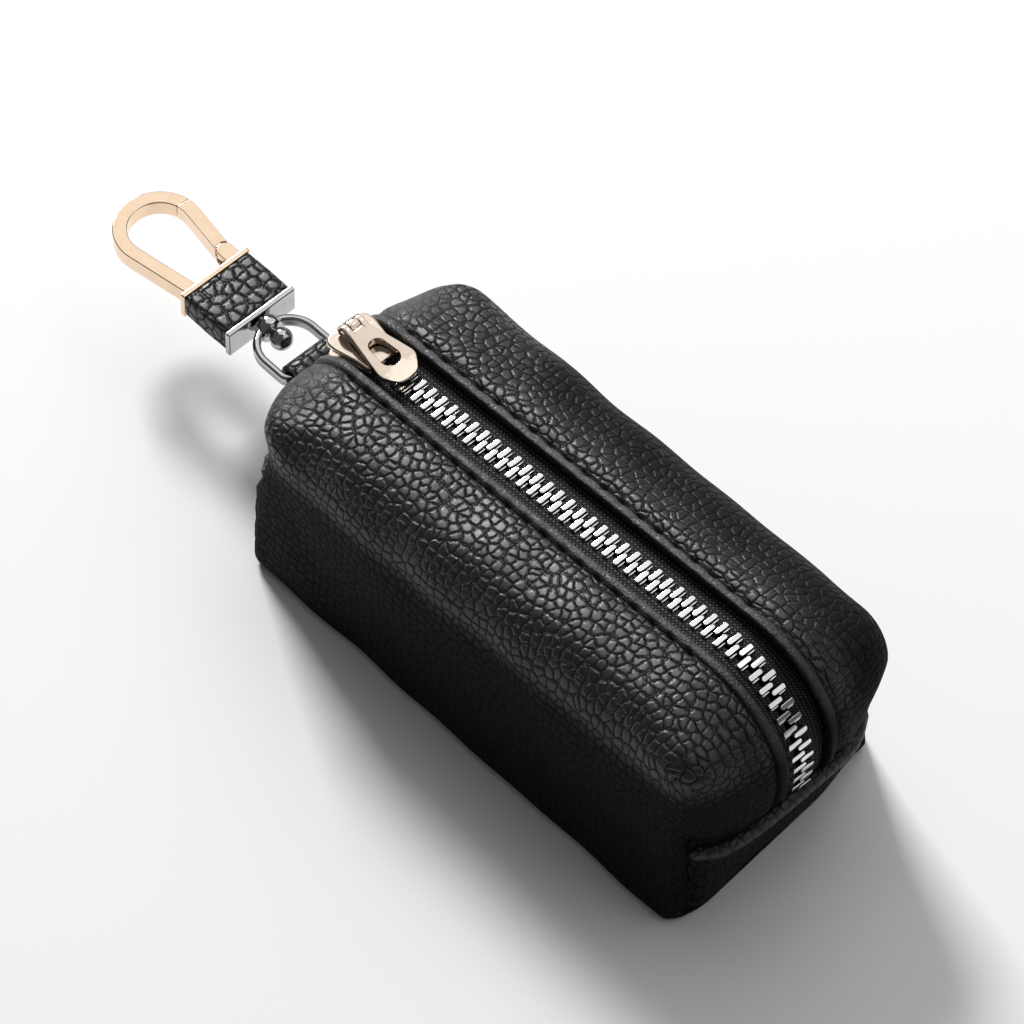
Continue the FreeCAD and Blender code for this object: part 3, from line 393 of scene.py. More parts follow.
def pebbled_leather(name, cell, graded=True):
    """Black leather: rounded pebbles parted by furrows and fine creases, a cell's width apart."""
    # The furrow tone is darker than the crown tone and the matte ground is near black: the dark furrows
    # are partly real grain, partly painted shade.
    furrow, crown = (0.0020, 0.0020, 0.0022), (0.0056, 0.0056, 0.0060)
    pale_wear_and_highlight, ground = (0.042, 0.042, 0.044), (0.0024, 0.0024, 0.0026)
    depth = 0.00021
    f = Finish(name)
    flat = f.node("UVMap")
    loose = f.stir(f.stir(flat, 240, 0.0008), 900, 0.0004)
    edge = f.cells(loose, 1000 / cell)
    near = f.cells(loose, 1000 / cell, "F1")
    lean = f.vector("SUBTRACT", near.beside("Color"), MIDDLE)
    lean = f.vector("DOT_PRODUCT", f.vector("SUBTRACT", loose, near.beside("Position")), lean, "Value")
    width = f.ramp(f.noise(flat, 420, 1.0), 0.3, 0.7, 0.18, 0.32)
    top = f.ramp(edge, 0.03, width) * f.ramp(near, 0.37, 0.67, 1.0, 0.0)
    fold = f.ramp(f.cells(f.stir(flat, 600, 0.0009), 2500 / cell), 0.0, 0.12)
    crease = f.ramp(edge, 0.0, 0.07) * (top + (1.0 - top) * fold)
    fine = f.noise(flat, 7000, 3.0, 0.6)
    slow = f.noise(flat, 60)
    height = top * 0.48 + crease * 0.34 - near * near * 0.30 + lean * (260 / cell) + fine * 0.10
    gloss, rim, worn = top, 0.75, 0.0
    if graded:
        # The glossy share kept on the mesh is painted light: it is cut back on the sides, the right strip
        # and the lower flaps as painted shade, and raised on the seam crests as a painted highlight.
        keep, painted_light = f.kept("grain"), f.kept("painted_light")
        plain = 1.0 - keep
        mottle = f.ramp(f.noise(flat, 1900, 3.0, 0.7), 0.36, 0.60)
        height = height * keep + mottle * plain * 0.40
        crease = crease * keep + plain
        top = top * keep + (0.55 + 0.45 * mottle) * plain
        # The pale tone shows along the lip crowns and seam crests: pale wear there that is also a painted
        # highlight.
        worn = f.kept("worn") * (0.15 + 0.85 * mottle)
        gloss = top * painted_light
        rim = f.ramp(painted_light, 0.1, 0.7, 0.12, 0.75)
    f.set(Base_Color=f.blend(worn, f.blend(top, furrow, crown), pale_wear_and_highlight), IOR=1.5, Specular_IOR_Level=0.7,
          Roughness=f.ramp(top, 0, 1, 0.46, 0.37) + (slow - 0.5) * 0.10)
    # Where the shine is low the matte near-black ground shows: painted shade in the furrows and creases,
    # and where the glossy share kept on the mesh is low.
    shine = (0.06 + 0.94 * crease) * (gloss + (1.0 - top) * rim)
    f.dull_where(shine, f.relief(height, depth), ground)
    return f.material


def woven_tape(name):
    """Black woven tape: rows of small knots, with ribs along it."""
    weft_step, warp_step = 0.00078, 0.00080
    f = Finish(name)
    here = f.here()
    loose = f.stir(here, 1100, 0.0003)
    split = f.node("SeparateXYZ", None, {"Vector": loose}, "X")
    weft = f.wave(split - split.beside("Z"), weft_step)
    warp = f.wave(split.beside("Y"), warp_step)
    fuzz = f.noise(here, 6000, 3.0, 0.7)
    height = weft * warp * 0.5 + warp * 0.22 + weft * 0.15 + fuzz * 0.6
    f.relief(height, 0.00016)
    # The colour follows the weave's height: a painted highlight on the raised knots and painted shade in
    # the gaps between them.
    f.set(Base_Color=f.blend(f.ramp(height, 0.05, 0.85), (0.0005, 0.0005, 0.0005), (0.10, 0.10, 0.102)),
          Roughness=0.7, Specular_IOR_Level=0.2)
    return f.material


def lining_cloth(name):
    f = Finish(name)
    checks = f.cells(f.stir(f.here(), 700, 0.0003), 1700, "F1")
    f.relief(checks, 0.0001)
    f.set(Base_Color=f.blend(checks, (0.03, 0.03, 0.032), (0.012, 0.012, 0.013)), Roughness=0.85)
    return f.material


def twisted_thread(name):
    f = Finish(name)
    ply = f.node("TexWave", {"wave_type": "BANDS", "bands_direction": "DIAGONAL"},
                 {"Vector": f.here(), "Scale": 900, "Distortion": 0.6}, "Fac")
    f.relief(ply, 0.00006)
    f.set(Base_Color=f.blend(ply, (0.002, 0.002, 0.002), (0.010, 0.010, 0.0105)),
          Roughness=0.75, Specular_IOR_Level=0.2)
    return f.material


def polished(name, bright, worn, rough):
    """Plated metal with faint handling marks."""
    f = Finish(name)
    here = f.here()
    cloud = f.noise(here, 350, 4.0, 0.6)
    rubs = f.noise(here, 1750, 2.0, 0.7)
    f.set(Base_Color=f.blend(f.ramp(cloud, 0.35, 0.75), bright, worn),
          Roughness=f.ramp(rubs, 0.3, 0.8, rough * 0.85, rough * 1.2), Metallic=1.0)
    return f.material


LEATHER = pebbled_leather("black_pebbled_leather", 1.95)
WRAP = pebbled_leather("black_strap_leather", 2.2, False)
TAPE = woven_tape("black_zip_tape")
CLOTH = lining_cloth("black_lining_cloth")
THREAD = twisted_thread("black_thread")
TEETH = polished("bright_zip_metal", (0.80, 0.80, 0.81), (0.70, 0.70, 0.72), 0.09)
GOLD = polished("pale_gold_plate", (0.88, 0.68, 0.49), (0.84, 0.63, 0.45), 0.06)
SOFT_GOLD = polished("satin_gold_plate", (0.72, 0.61, 0.51), (0.68, 0.57, 0.47), 0.12)
CHROME = polished("dark_chrome", (0.54, 0.535, 0.53), (0.46, 0.455, 0.45), 0.08)
STEEL = polished("plain_steel", (0.62, 0.62, 0.63), (0.5, 0.5, 0.51), 0.25)


def dress(obj, material, slot, *nodes, body=None):
    """Give a finished piece its material, hide the CAD nodes it stands for and attach it to its body. The
    slot is not used.
    """
    obj.data.materials.clear()
    obj.data.materials.append(material)
    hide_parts(*nodes)
    if body:
        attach(obj, body)
    return obj


def follow_zip(obj):
    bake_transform(obj)


# The form of the case

def round_max(a, b, r):
    return np.minimum(np.maximum(a, b), -r) + np.hypot(np.maximum(a + r, 0), np.maximum(b + r, 0))


def case_field(p):
    """Below zero inside the leather's outside, zero on it."""
    x, y, z = p.T
    w = np.abs(y)
    top = (z - TRACK_Z - x * TAN) * COS - LEATHER_LIFT
    right = ease(-4, 4, y)
    top = top + (0.05 + (0.12 + 0.10 * ease(-34, 0, x)) * right) * np.clip(w - 9.5, 0, 14)
    top = top + (2.0 - 1.6 * right) * ease(7, 23, w) * ease(-36, -56, x)
    top = top + (2.5 + 1.6 * right) * ease(9, 23, w) * ease(36, 56, x)
    over_seam = z - SEAM_Z
    bow = (w / HALF_WIDTH) ** 2.4
    far = round_max(x - FAR_X - over_seam * 0.057, x - FAR_X - over_seam * 0.285, 1.5)
    far = round_max(far, x - FAR_CREST + 7.4 * bow, 3.0)
    slack = 0.075 * (y + HALF_WIDTH) * ease(34, 8, z) + 2.0 * bump(20, 7, z) * ease(10, 24, y)
    far = far + slack - 1.3 * ease(16, 5, z) * ease(22, 8, y)
    loop = round_max(-x - LOOP_X - over_seam * 0.028, -x - LOOP_X - over_seam * 0.216, 1.5)
    loop = round_max(loop, -x - LOOP_CREST + (5.2 + 3.2 * ease(8, 35, z)) * bow, 3.0)
    loop = loop + 1.5 * bump(29, 6, z) * ease(12, 24, w) + 2.4 * bump(13, 6.5, y) * ease(24, 40, z)
    loop = loop + 2.6 * bump(-6, 8, y) * ease(29, 41, z)
    side = w - HALF_WIDTH - 0.8 * ease(0, 16, z) * ease(40, 22, z) * ease(60, 20, np.abs(x))
    side = side - 1.5 * ease(16, 1, z)
    f = round_max(top, far, 20.0 - 13.0 * ease(10, 22, w))
    f = round_max(f, loop, 8.0 - 4.5 * ease(8, 20, w))
    f = round_max(f, side, 3.0 + (6.2 - 3.4 * right) * ease(22, 40, z) * ease(55, 38, np.abs(x)))
    return round_max(f, -z, 1.3)


# A plain box is drawn first, and its faces are carried out from an inner block to the case's form.
BOX_END, BOX_TOP = 60.0, 44.0
INNER_LOW = np.array([-48.0, -19.0, 7.0])
INNER_HIGH = np.array([40.0, 19.0, 28.0])
RAY_REACH, RAY_HALVINGS = 60.0, 40


def box_grid(x, y, z):
    """Places on the box from rows and columns of x, y and z."""
    return np.stack(np.broadcast_arrays(*(np.asarray(t, float) for t in (x, y, z))), -1)


def onto_case(box):
    """Places on a box carried out to the case's form, with the outward direction there."""
    flat = box.reshape(-1, 3)
    core = np.clip(flat, INNER_LOW, INNER_HIGH)
    ray = flat - core
    ray /= np.linalg.norm(ray, axis=1)[:, None]
    near, away = np.zeros(len(flat)), np.full(len(flat), RAY_REACH)
    for _ in range(RAY_HALVINGS):
        half = (near + away) / 2
        inside = case_field(core + ray * half[:, None]) < 0
        near, away = np.where(inside, half, near), np.where(inside, away, half)
    p = core + ray * near[:, None]
    step = 0.05
    n = np.stack([case_field(p + step * e) - case_field(p - step * e) for e in np.eye(3)], -1)
    n /= np.linalg.norm(n, axis=1)[:, None]
    return p.reshape(box.shape), n.reshape(box.shape)


def swell(p):
    """Slow dents and swells of soft leather, in millimetres."""
    x, y, z = np.moveaxis(p, -1, 0)
    return (0.22 * np.sin(x / 9.1 + z / 7.3 + 0.4) * np.sin(y / 8.2 - z / 11.0)
            + 0.18 * np.sin(x / 5.3 - y / 6.1 + 1.7) * np.sin(z / 6.7 + x / 17.0)
            + 0.12 * np.sin(x / 3.1 + z / 3.7 + y / 4.3))


def lip_relief(w, along):
    """Height over the plain leather near the zip: a rolled lip, then the sewn dip with its pits."""
    gap = (along - STITCH_START + (STITCH_PITCH - STITCH_LENGTH) / 2) / STITCH_PITCH
    pit = bump(0, 0.62, (gap - np.rint(gap)) * STITCH_PITCH)
    pit = pit * ease(-48, -46, along) * ease(39, 37, along)
    lip = (0.46 - 0.14 * pit) * np.sqrt(np.clip(1 - ((w - LIP_Y) / 0.98) ** 4, 0, 1))
    dip = -0.24 * bump(STITCH_Y, 0.34, w) - 0.85 * pit * bump(STITCH_Y, 0.40, w)
    puff = 0.35 * ease(7.2, 9.4, w) * ease(18, 11, w)
    return lip + dip + puff


def end_relief(p, edge):
    """Seams and tucked corners at the two ends; edge is the distance from an upright corner."""
    x, y, z = np.moveaxis(p, -1, 0)
    w = np.abs(y)
    at_end = ease(44, 52, np.abs(x))
    tuck = -1.2 * at_end * bump(SEAM_Z + 2.2, 1.8, z) * ease(25, 20, w)
    dart = -1.0 * bump(0, 1.5, edge) * ease(23, 16, z) * ease(0, 4, z)
    pocket = -1.7 * bump(0, 4.0, edge) * bump(SEAM_Z + 3.2, 2.0, z)
    pucker = 0.30 * np.sin(z * 1.5 + np.minimum(edge, 9) * 0.5) * bump(1.5, 5.0, edge) * ease(26, 17, z)
    gather = 0.20 * np.sin(y * 1.25 + z * 0.3) * at_end * bump(SEAM_Z + 4.5, 3.5, z)
    return tuck + dart + pocket + pucker + gather


# Columns of a panel, from the turned edge under the lip, over the top, to the side.
TURNED = [(1.9, -1.85), (1.1, -2.05), (0.45, -2.0), (0.05, -1.75), (-0.14, -1.25),
          (-0.16, -0.65), (-0.08, -0.1)]
OVER = [5.27, 5.42, 5.62, 5.88, 6.15, 6.40, 6.60, 6.76, 6.88, 6.98, 7.10, 7.24, 7.42, 7.70, 8.1, 8.7,
        9.5, 10.4, 11.4, 12.5, 13.7, 15.0, 16.3, 17.6, 18.9, 20.1, 21.3, 22.4, 23.4, 24.2, HALF_WIDTH]
UNDER = [24.0, 23.0, 22.0]
UPPER_FOOT = 19.5
UPPER = np.linspace(BOX_TOP, UPPER_FOOT, 20)
LOWER = np.linspace(UPPER_FOOT, 0.0, 16)
ALONG = np.linspace(-BOX_END, BOX_END, 161)
RIGHT_LAYOUT = 137.0  # moves the right panel's flat layout, so that its pebbles are its own


def panel_patch(name, side, box, edge, columns, upper, flat=None):
    """One stretch of a panel; columns holds each column's shift to the side and its turn under."""
    p, n = onto_case(box)
    w = np.abs(box[..., 1])
    along = p[..., 0] * COS + (p[..., 2] - TRACK_Z) * SIN
    inward, turn = columns
    lip = lip_relief(w, along) * upper
    rise = np.where(turn < 0, turn + lip_relief(np.full_like(w, MOUTH), along) * upper, lip)
    free = ease(7.6, 11.5, w)
    rise = rise + swell(p) * np.where(turn < 0, 0, free)
    rise = rise + end_relief(p, edge) * np.where(turn < 0, 0.3, 1)
    p = p + n * rise[..., None]
    p[..., 1] += side * inward
    u, v = flat or (lengths(p, 0), lengths(p, 1) + (RIGHT_LAYOUT if side > 0 else 0.0))
    return cloth_grid(name, p, (u, v)), u, v


def leather_panel(name, side):
    """A side of the case with half the top and half of each upper end, its lip turned under."""
    no_edge = 99.0
    over = np.array([MOUTH] * len(TURNED) + OVER)
    inward, turn = np.array(TURNED + [(0.0, 0.0)] * len(OVER)).T
    # over the top, then down the side and a little way under
    down = np.hstack([UPPER[1:], LOWER[1:]])
    across = np.hstack([over, np.full(len(down), HALF_WIDTH), UNDER])
    height = np.hstack([np.full(len(over), BOX_TOP), down, np.zeros(len(UNDER))])
    box = box_grid(ALONG[:, None], side * across[None], height[None])
    pad = np.zeros(len(across) - len(over))
    both = (np.hstack([inward, pad])[None], np.hstack([turn, pad])[None])
    upper = np.hstack([np.ones(len(over)), pad])[None]
    edge = np.where(upper > 0, no_edge, BOX_END - np.abs(box[..., 0]))
    main, u, v = panel_patch(name, side, box, edge, both, upper)
    parts = [main]
    both, upper = (inward[None], turn[None]), np.ones((1, len(over)))
    for end, first, way in ((BOX_END, u[-1], 1.0), (-BOX_END, u[0], -1.0)):
        face = box_grid(end, side * over[None], UPPER[:, None])
        edge = HALF_WIDTH - np.abs(face[..., 1])
        flat = (first + way * (UPPER[0] - UPPER), v[:len(over)])
        parts.append(panel_patch(name, side, face, edge, both, upper, flat)[0])
    panel = join(name, *parts)
    edit(panel, merge, outward)
    return panel


def thicken(obj, middle, thickness):
    """Face a sheet away from a height on the middle line, and give it its thickness inward."""
    facing = np.array([v.normal for v in obj.data.vertices])
    if (facing * (places_of(obj) - [0, 0, middle])).sum() < 0:
        edit(obj, bpy.ops.mesh.flip_normals)
    modify(obj, "SOLIDIFY", thickness=thickness * MM, offset=-1.0)


def grade(obj, grain, painted_light, worn):
    """Keep on the mesh how far the pebbles show, how much of the glossy finish shows (painted light: low
    for painted shade, high for a painted highlight) and how far it is worn pale, pale wear that also
    paints a highlight.
    """
    p = places_of(obj)
    for name, value in (("grain", grain), ("painted_light", painted_light), ("worn", worn)):
        store = obj.data.attributes.new(name, "FLOAT", "POINT")
        store.data.foreach_set("value", np.clip(value(p), 0, 1).astype(np.float32))


def on_lip(p):
    over = np.clip(ease(34, 37, p[:, 2]) + ease(50, 55, np.abs(p[:, 0])), 0, 1)
    return ease(7.6, 6.9, np.abs(p[:, 1])) * over


def panel_grain(p):
    stretched = ease(-43, -52, p[:, 0]) * ease(28, 36, p[:, 2]) * ease(24, 17, np.abs(p[:, 1]))
    return (1 - 0.85 * on_lip(p)) * (1 - 0.7 * stretched)


# Pale wear along the rolled crowns of the lips, also a painted highlight: strongest from near the closed
# end and fading toward the far end.
def panel_wear_and_highlight(p):
    w = np.abs(p[:, 1])
    roll = ease(5.15, 5.5, w) * ease(6.95, 6.6, w)
    return on_lip(p) * roll * ease(-54, -46, p[:, 0]) * (1 - 0.85 * ease(16, 48, p[:, 0]))


# Painted shade: the glossy share drops to a tenth down the sides and is cut back on the right strip away
# from the closed end, so these parts turn matte black as if shaded.
def panel_painted_shade(p):
    side = ease(30, 41, p[:, 2] - p[:, 0] * TAN)
    right = ease(9, 17, p[:, 1]) * ease(-42, -20, p[:, 0])
    return (0.1 + 0.9 * side) * (1 - 0.68 * right)


for side, word in SIDES:
    panel = leather_panel(word + "_panel_leather", side)
    thicken(panel, middle=20, thickness=0.9)
    grade(panel, panel_grain, panel_painted_shade, panel_wear_and_highlight)
    smooth(panel, 75)
    follow_zip(dress(panel, LEATHER, "leather", word + "_panel"))


def bottom_leather():
    """The base and the two lower end flaps, each with its rolled seam edge."""
    across = np.hstack([[-25, -24.2, -23.2], np.linspace(-22, 22, 41), [23.2, 24.2, 25]])
    flap_rows = 13
    p, n = onto_case(box_grid(ALONG[:, None], across[None], 0.0))
    p = p - n * (0.35 * ease(21.0, 23.0, np.abs(across)))[None, :, None]
    parts = [cloth_grid("base", p)]
    # rolled edge from behind the seam, over its crest, down the flap
    roll = [(1.0, -1.3), (1.3, -0.6), (1.25, 0.2), (0.9, 0.85), (0.4, 1.15), (-0.15, 1.15),
            (-0.7, 0.85), (-1.3, 0.5), (-2.1, 0.2)]
    drop, rise = np.array(roll + [(0.0, 0.0)] * flap_rows).T
    height = np.hstack([np.full(len(roll), SEAM_Z), np.linspace(15.8, 0.0, flap_rows)])
    for end in (BOX_END, -BOX_END):
        face = box_grid(end, across[None], height[:, None])
        p, n = onto_case(face)
        fade = ease(HALF_WIDTH, 23.6, np.abs(across))[None] * (1.0 if end > 0 else 0.6)
        lift = rise[:, None] * (0.25 + 0.75 * fade)
        edge = HALF_WIDTH - np.abs(face[..., 1])
        flap = np.where(np.arange(len(height)) < len(roll), 0, 1)[:, None]
        lift = lift + end_relief(p, edge) * np.where(edge < 6, 1, flap) + flap * swell(p)
        p = p + n * lift[..., None]
        p[..., 2] += drop[:, None] * fade + 0.12 * np.sin(across * 1.9)[None] * (drop != 0)[:, None]
        parts.append(cloth_grid("flap", p))
    obj = join("bottom_panel_leather", *parts)
    edit(obj, merge, outward)
    thicken(obj, middle=12, thickness=0.8)
    # Painted light on the lower leather: the rolled seam crest is glossy and pale as a painted highlight,
    # partly pale wear too, and the rest stays mostly matte black as painted shade.
    grade(obj, lambda p: 1 - 0.5 * bump(SEAM_Z + 0.3, 1.3, p[:, 2]),
          lambda p: 0.15 + 0.6 * bump(SEAM_Z + 0.6, 2.0, p[:, 2]),
          lambda p: 0.5 * bump(SEAM_Z + 0.6, 1.0, p[:, 2]))
    smooth(obj, 75)
    dress(obj, LEATHER, "leather", "bottom_panel", body="case")


bottom_leather()


# The zip's line: straight along the track, round the far shoulder and down to the seam.

ROUND = 20.0 - LEATHER_LIFT
SWEEP = math.pi / 2 + TILT + FAR_SLOPE


def zip_line(s):
    """Place (x, z) and direction angle at a length along the tape's middle."""
    s = np.asarray(s, float)
    end_n = np.array([math.cos(FAR_SLOPE), -math.sin(FAR_SLOPE)])
    end_p = np.array([FAR_X - LEATHER_LIFT, SEAM_Z])
    way = np.array([COS, SIN])
    base = np.array([0.0, TRACK_Z]) - np.array([-SIN, COS]) * ROUND
    run = (end_n @ end_p - ROUND - end_n @ base) / (end_n @ way)
    centre = base + way * run
    bend = np.clip((s - run) / ROUND, 0, SWEEP)
    angle = TILT - bend
    x = np.minimum(s, run) * COS
    z = TRACK_Z + np.minimum(s, run) * SIN
    turn = bend > 0
    x = np.where(turn, centre[0] - ROUND * np.sin(angle), x)
    z = np.where(turn, centre[1] + ROUND * np.cos(angle), z)
    past = np.maximum(s - run - ROUND * SWEEP, 0)
    return x + past * np.cos(angle), z + past * np.sin(angle), angle


def on_zip(s, y, h):
    """A place by its length along the zip, its distance across and its height over the tape."""
    x, z, angle = zip_line(s)
    return np.stack([x - h * np.sin(angle), y + 0 * x, z + h * np.cos(angle)], -1)


def tape_strip(name, side, start, end, steps, outer, sunk=0.0):
    """A length of tape with a corded inner edge."""
    section = np.array([
        (0.85, -0.30), (0.85, 0.12), (1.2, 0.30), (1.8, 0.38), (2.5, 0.38), (3.1, 0.26),
        (3.6, 0.225), (4.4, 0.225), (5.2, 0.225), (outer - 0.25, 0.225), (outer, 0.12),
        (outer, -0.12), (outer - 0.25, -0.225), (5.2, -0.225), (3.6, -0.225), (3.1, -0.26),
        (2.5, -0.38), (1.3, -0.38)])
    s = np.linspace(start, end, steps)[:, None]
    wave = 0.05 * np.sin(s * 1.1 + side)
    places = on_zip(s + 0 * section[None, :, 0], side * section[None, :, 0] + 0 * s,
                    sunk + section[None, :, 1] + wave * ease(2.9, 4, section[None, :, 0]))
    obj = tube(name, places)
    smooth(obj, 50)
    return obj


for side, word in SIDES:
    tape = tape_strip(word + "_zip_tape", side, start=-51.4, end=38.2, steps=92, outer=TAPE_EDGE)
    follow_zip(dress(tape, TAPE, "tape", word + "_tape"))

far_halves = [tape_strip("far_half", side, start=37.2, end=PIVOT + 39.4, steps=64, outer=END_TAPE_EDGE,
                         sunk=-0.12) for side, word in SIDES]
dress(join("far_zip_tape", *far_halves), TAPE, "tape", "far_tape", body="case")


def loop_end_tape():
    """Tape that rises at the closed end and turns inward under the slider."""
    z = np.linspace(23.2, 34.6, 24)
    y = np.linspace(-END_TAPE_EDGE, END_TAPE_EDGE, 25)
    p, n = onto_case(box_grid(-BOX_END, y[None], z[:, None]))
    p = p - n * (1.5 + 0.15 * np.cos(y * 1.3))[None, :, None]
    bend, rise = 1.4, 0.9
    turn = np.linspace(0, math.pi / 2, 8)[1:]
    run = np.linspace(2.2, 9.0, 9)
    inward = np.hstack([bend * (1 - np.cos(turn)), run])
    upward = np.hstack([rise * np.sin(turn), rise + (run - bend) * TAN])
    under = np.repeat(p[-1:], len(inward), 0)
    under[..., 0] += inward[:, None]
    under[..., 2] += upward[:, None]
    obj = cloth_grid("closed_end_tape", np.concatenate([p, under], 0))
    edit(obj, outward)
    modify(obj, "SOLIDIFY", thickness=0.4 * MM, offset=0.0)
    smooth(obj, 50)
    dress(obj, TAPE, "tape", "loop_end_tape", body="case")


loop_end_tape()


def rounded_box(name, low, high, radius, segments=2):
    """A block with eased edges, from its two corners."""
    low, high = np.array(low), np.array(high)
    deselect()
    bpy.ops.mesh.primitive_cube_add(size=2)
    obj = bpy.context.object
    reshape(obj, lambda p: (low + high) / 2 + p * MM * (high - low) / 2)
    bevel(obj, radius, segments)
    obj.name = name
    return obj


def zip_tooth(side):
    """One tooth across the zip: a bright bar with round ends, its foot, and a low clamp beside it."""
    foot = rounded_box("foot", (-0.36, 0.0, -1.05), (0.36, 2.3, 0.5), 0.1)
    line = np.vstack([arc((0.0, -0.13), 0.47, 180, 360, 9), arc((0.17, 2.08), 0.3, 0, 90, 5),
                      arc((-0.17, 2.08), 0.3, 90, 180, 5)])
    bar = plate("bar", line, 0.2, 1.06)
    bevel(bar, 0.13, 2)
    clamp = rounded_box("clamp", (0.66, 0.6, -0.5), (0.90, 2.2, 0.66), 0.07)
    tooth = join("tooth", foot, bar, clamp)
    reshape(tooth, lambda p: p * [1, side, 1])
    edit(tooth, outward)
    face_normals(tooth)
    return tooth


def tooth_row(name, side, start):
    tooth = zip_tooth(side)
    reshape(tooth, lambda p: on_zip(start + p[:, 0], p[:, 1], p[:, 2]))
    repeat(tooth, TOOTH_COUNT, TOOTH_PITCH)
    tooth.name = name
    return tooth


for side, word in SIDES:
    shift = TOOTH_PITCH / 2 if side > 0 else 0
    row = tooth_row(word + "_zip_teeth", side, TOOTH_START + shift)
    follow_zip(dress(row, TEETH, "teeth", word + "_teeth"))

far_set = []
for i in range(FAR_TOOTH_COUNT):
    tooth = zip_tooth(1 if i % 2 else -1)
    x, z, angle = zip_line(FAR_TOOTH_START + i * FAR_TOOTH_STEP)
    reshape(tooth, lambda p: tilted(p, angle) + [x, 0, z])
    far_set.append(tooth)
dress(join("far_zip_teeth", *far_set), TEETH, "teeth", "far_teeth", body="case")


def stitch_row(name, side):
    """Black thread lying in the sewn dip, each stitch diving at both ends."""
    t = np.linspace(0, 1, 13)
    around = np.linspace(0, 2 * math.pi, 8, endpoint=False)
    s = STITCH_START + t * STITCH_LENGTH
    height = LEATHER_LIFT - 0.14 - 0.75 * np.abs(2 * t - 1) ** 5
    thick = 0.27
    across = side * STITCH_Y + thick * np.cos(around)[None] + 0 * s[:, None]
    height = height[:, None] + thick * np.sin(around)[None]
    obj = tube(name, on_zip(s[:, None] + 0 * around[None], across, height))
    repeat(obj, STITCH_COUNT, STITCH_PITCH)
    smooth(obj, 60)
    return obj


for side, word in SIDES:
    row = stitch_row(word + "_thread", side)
    follow_zip(dress(row, THREAD, "thread", word + "_stitches"))


# Slider and pull

PIN_AT = (-54.0, 3.7)  # the pull's pin, along the zip and over it


def track_frame(p):
    """Track lengths, widths and heights turned into places on the straight zip."""
    return tilted(p, TILT) + [0, 0, TRACK_Z]


def slider():
    """Two plates with rails, the neck between them and the lug that holds the pull."""
    half = np.array([(-45.5, 3.6), (-46.2, 4.3), (-49.0, 4.6), (-51.5, 5.2), (-53.6, 5.65),
                     (-55.4, 5.6), (-56.3, 4.6), (-56.5, 3.0), (-56.1, 1.1)])
    outline = spread(np.vstack([half, half[::-1] * [1, -1]]), 72)
    top = plate("slider_top", outline * [1, 0.88], 1.3, 2.4)
    bevel(top, 0.42, 4)
    reshape(top, lambda p: shifted(p, 2, np.where(
        p[:, 2] > 1.6, 0.22 * (1 - (p[:, 1] / 5.7) ** 2) - 0.1, 0)))
    low = plate("slider_low", outline * [1, 0.84], -2.4, -1.3)
    bevel(low, 0.38, 4)
    rails = []
    for side in (-1, 1):
        for h0, h1 in ((0.5, 1.4), (-1.4, -0.5)):
            rail = rounded_box("rail", (-52.6, -0.4, h0), (-45.8, 0.4, h1), 0.15)
            reshape(rail, lambda p: shifted(p, 1, side * np.interp(
                -p[:, 0], [45.5, 46.2, 49.0, 51.5, 53.6], [2.95, 3.45, 3.75, 4.2, 4.55])))
            rails.append(rail)
    neck = rounded_box("neck", (-56.3, -0.13, -1.4), (-55.2, 0.13, 1.4), 0.05)
    lug_line = np.vstack([[(-51.2, 2.2), (-52.2, 2.7)], arc(PIN_AT, 1.62, -20, 200, 22),
                          [(-55.9, 2.7), (-56.3, 2.2)]])
    lug = plate("lug", spread(lug_line, 60), -0.96, 0.96, spread(arc(PIN_AT, 0.75, -20, 325, 40), 60))
    reshape(lug, on_edge)
    edit(lug, outward)
    bevel(lug, 0.22, 3)
    obj = assemble("zip_slider", track_frame, top, low, neck, lug, *rails)
    dress(obj, SOFT_GOLD, "pale_gold", "slider_body", body="slider")


slider()

PULL_AT = track_frame(np.array([[PIN_AT[0], 0.0, PIN_AT[1]]]))[0]
PULL_TURN = TILT - math.radians(2.2)


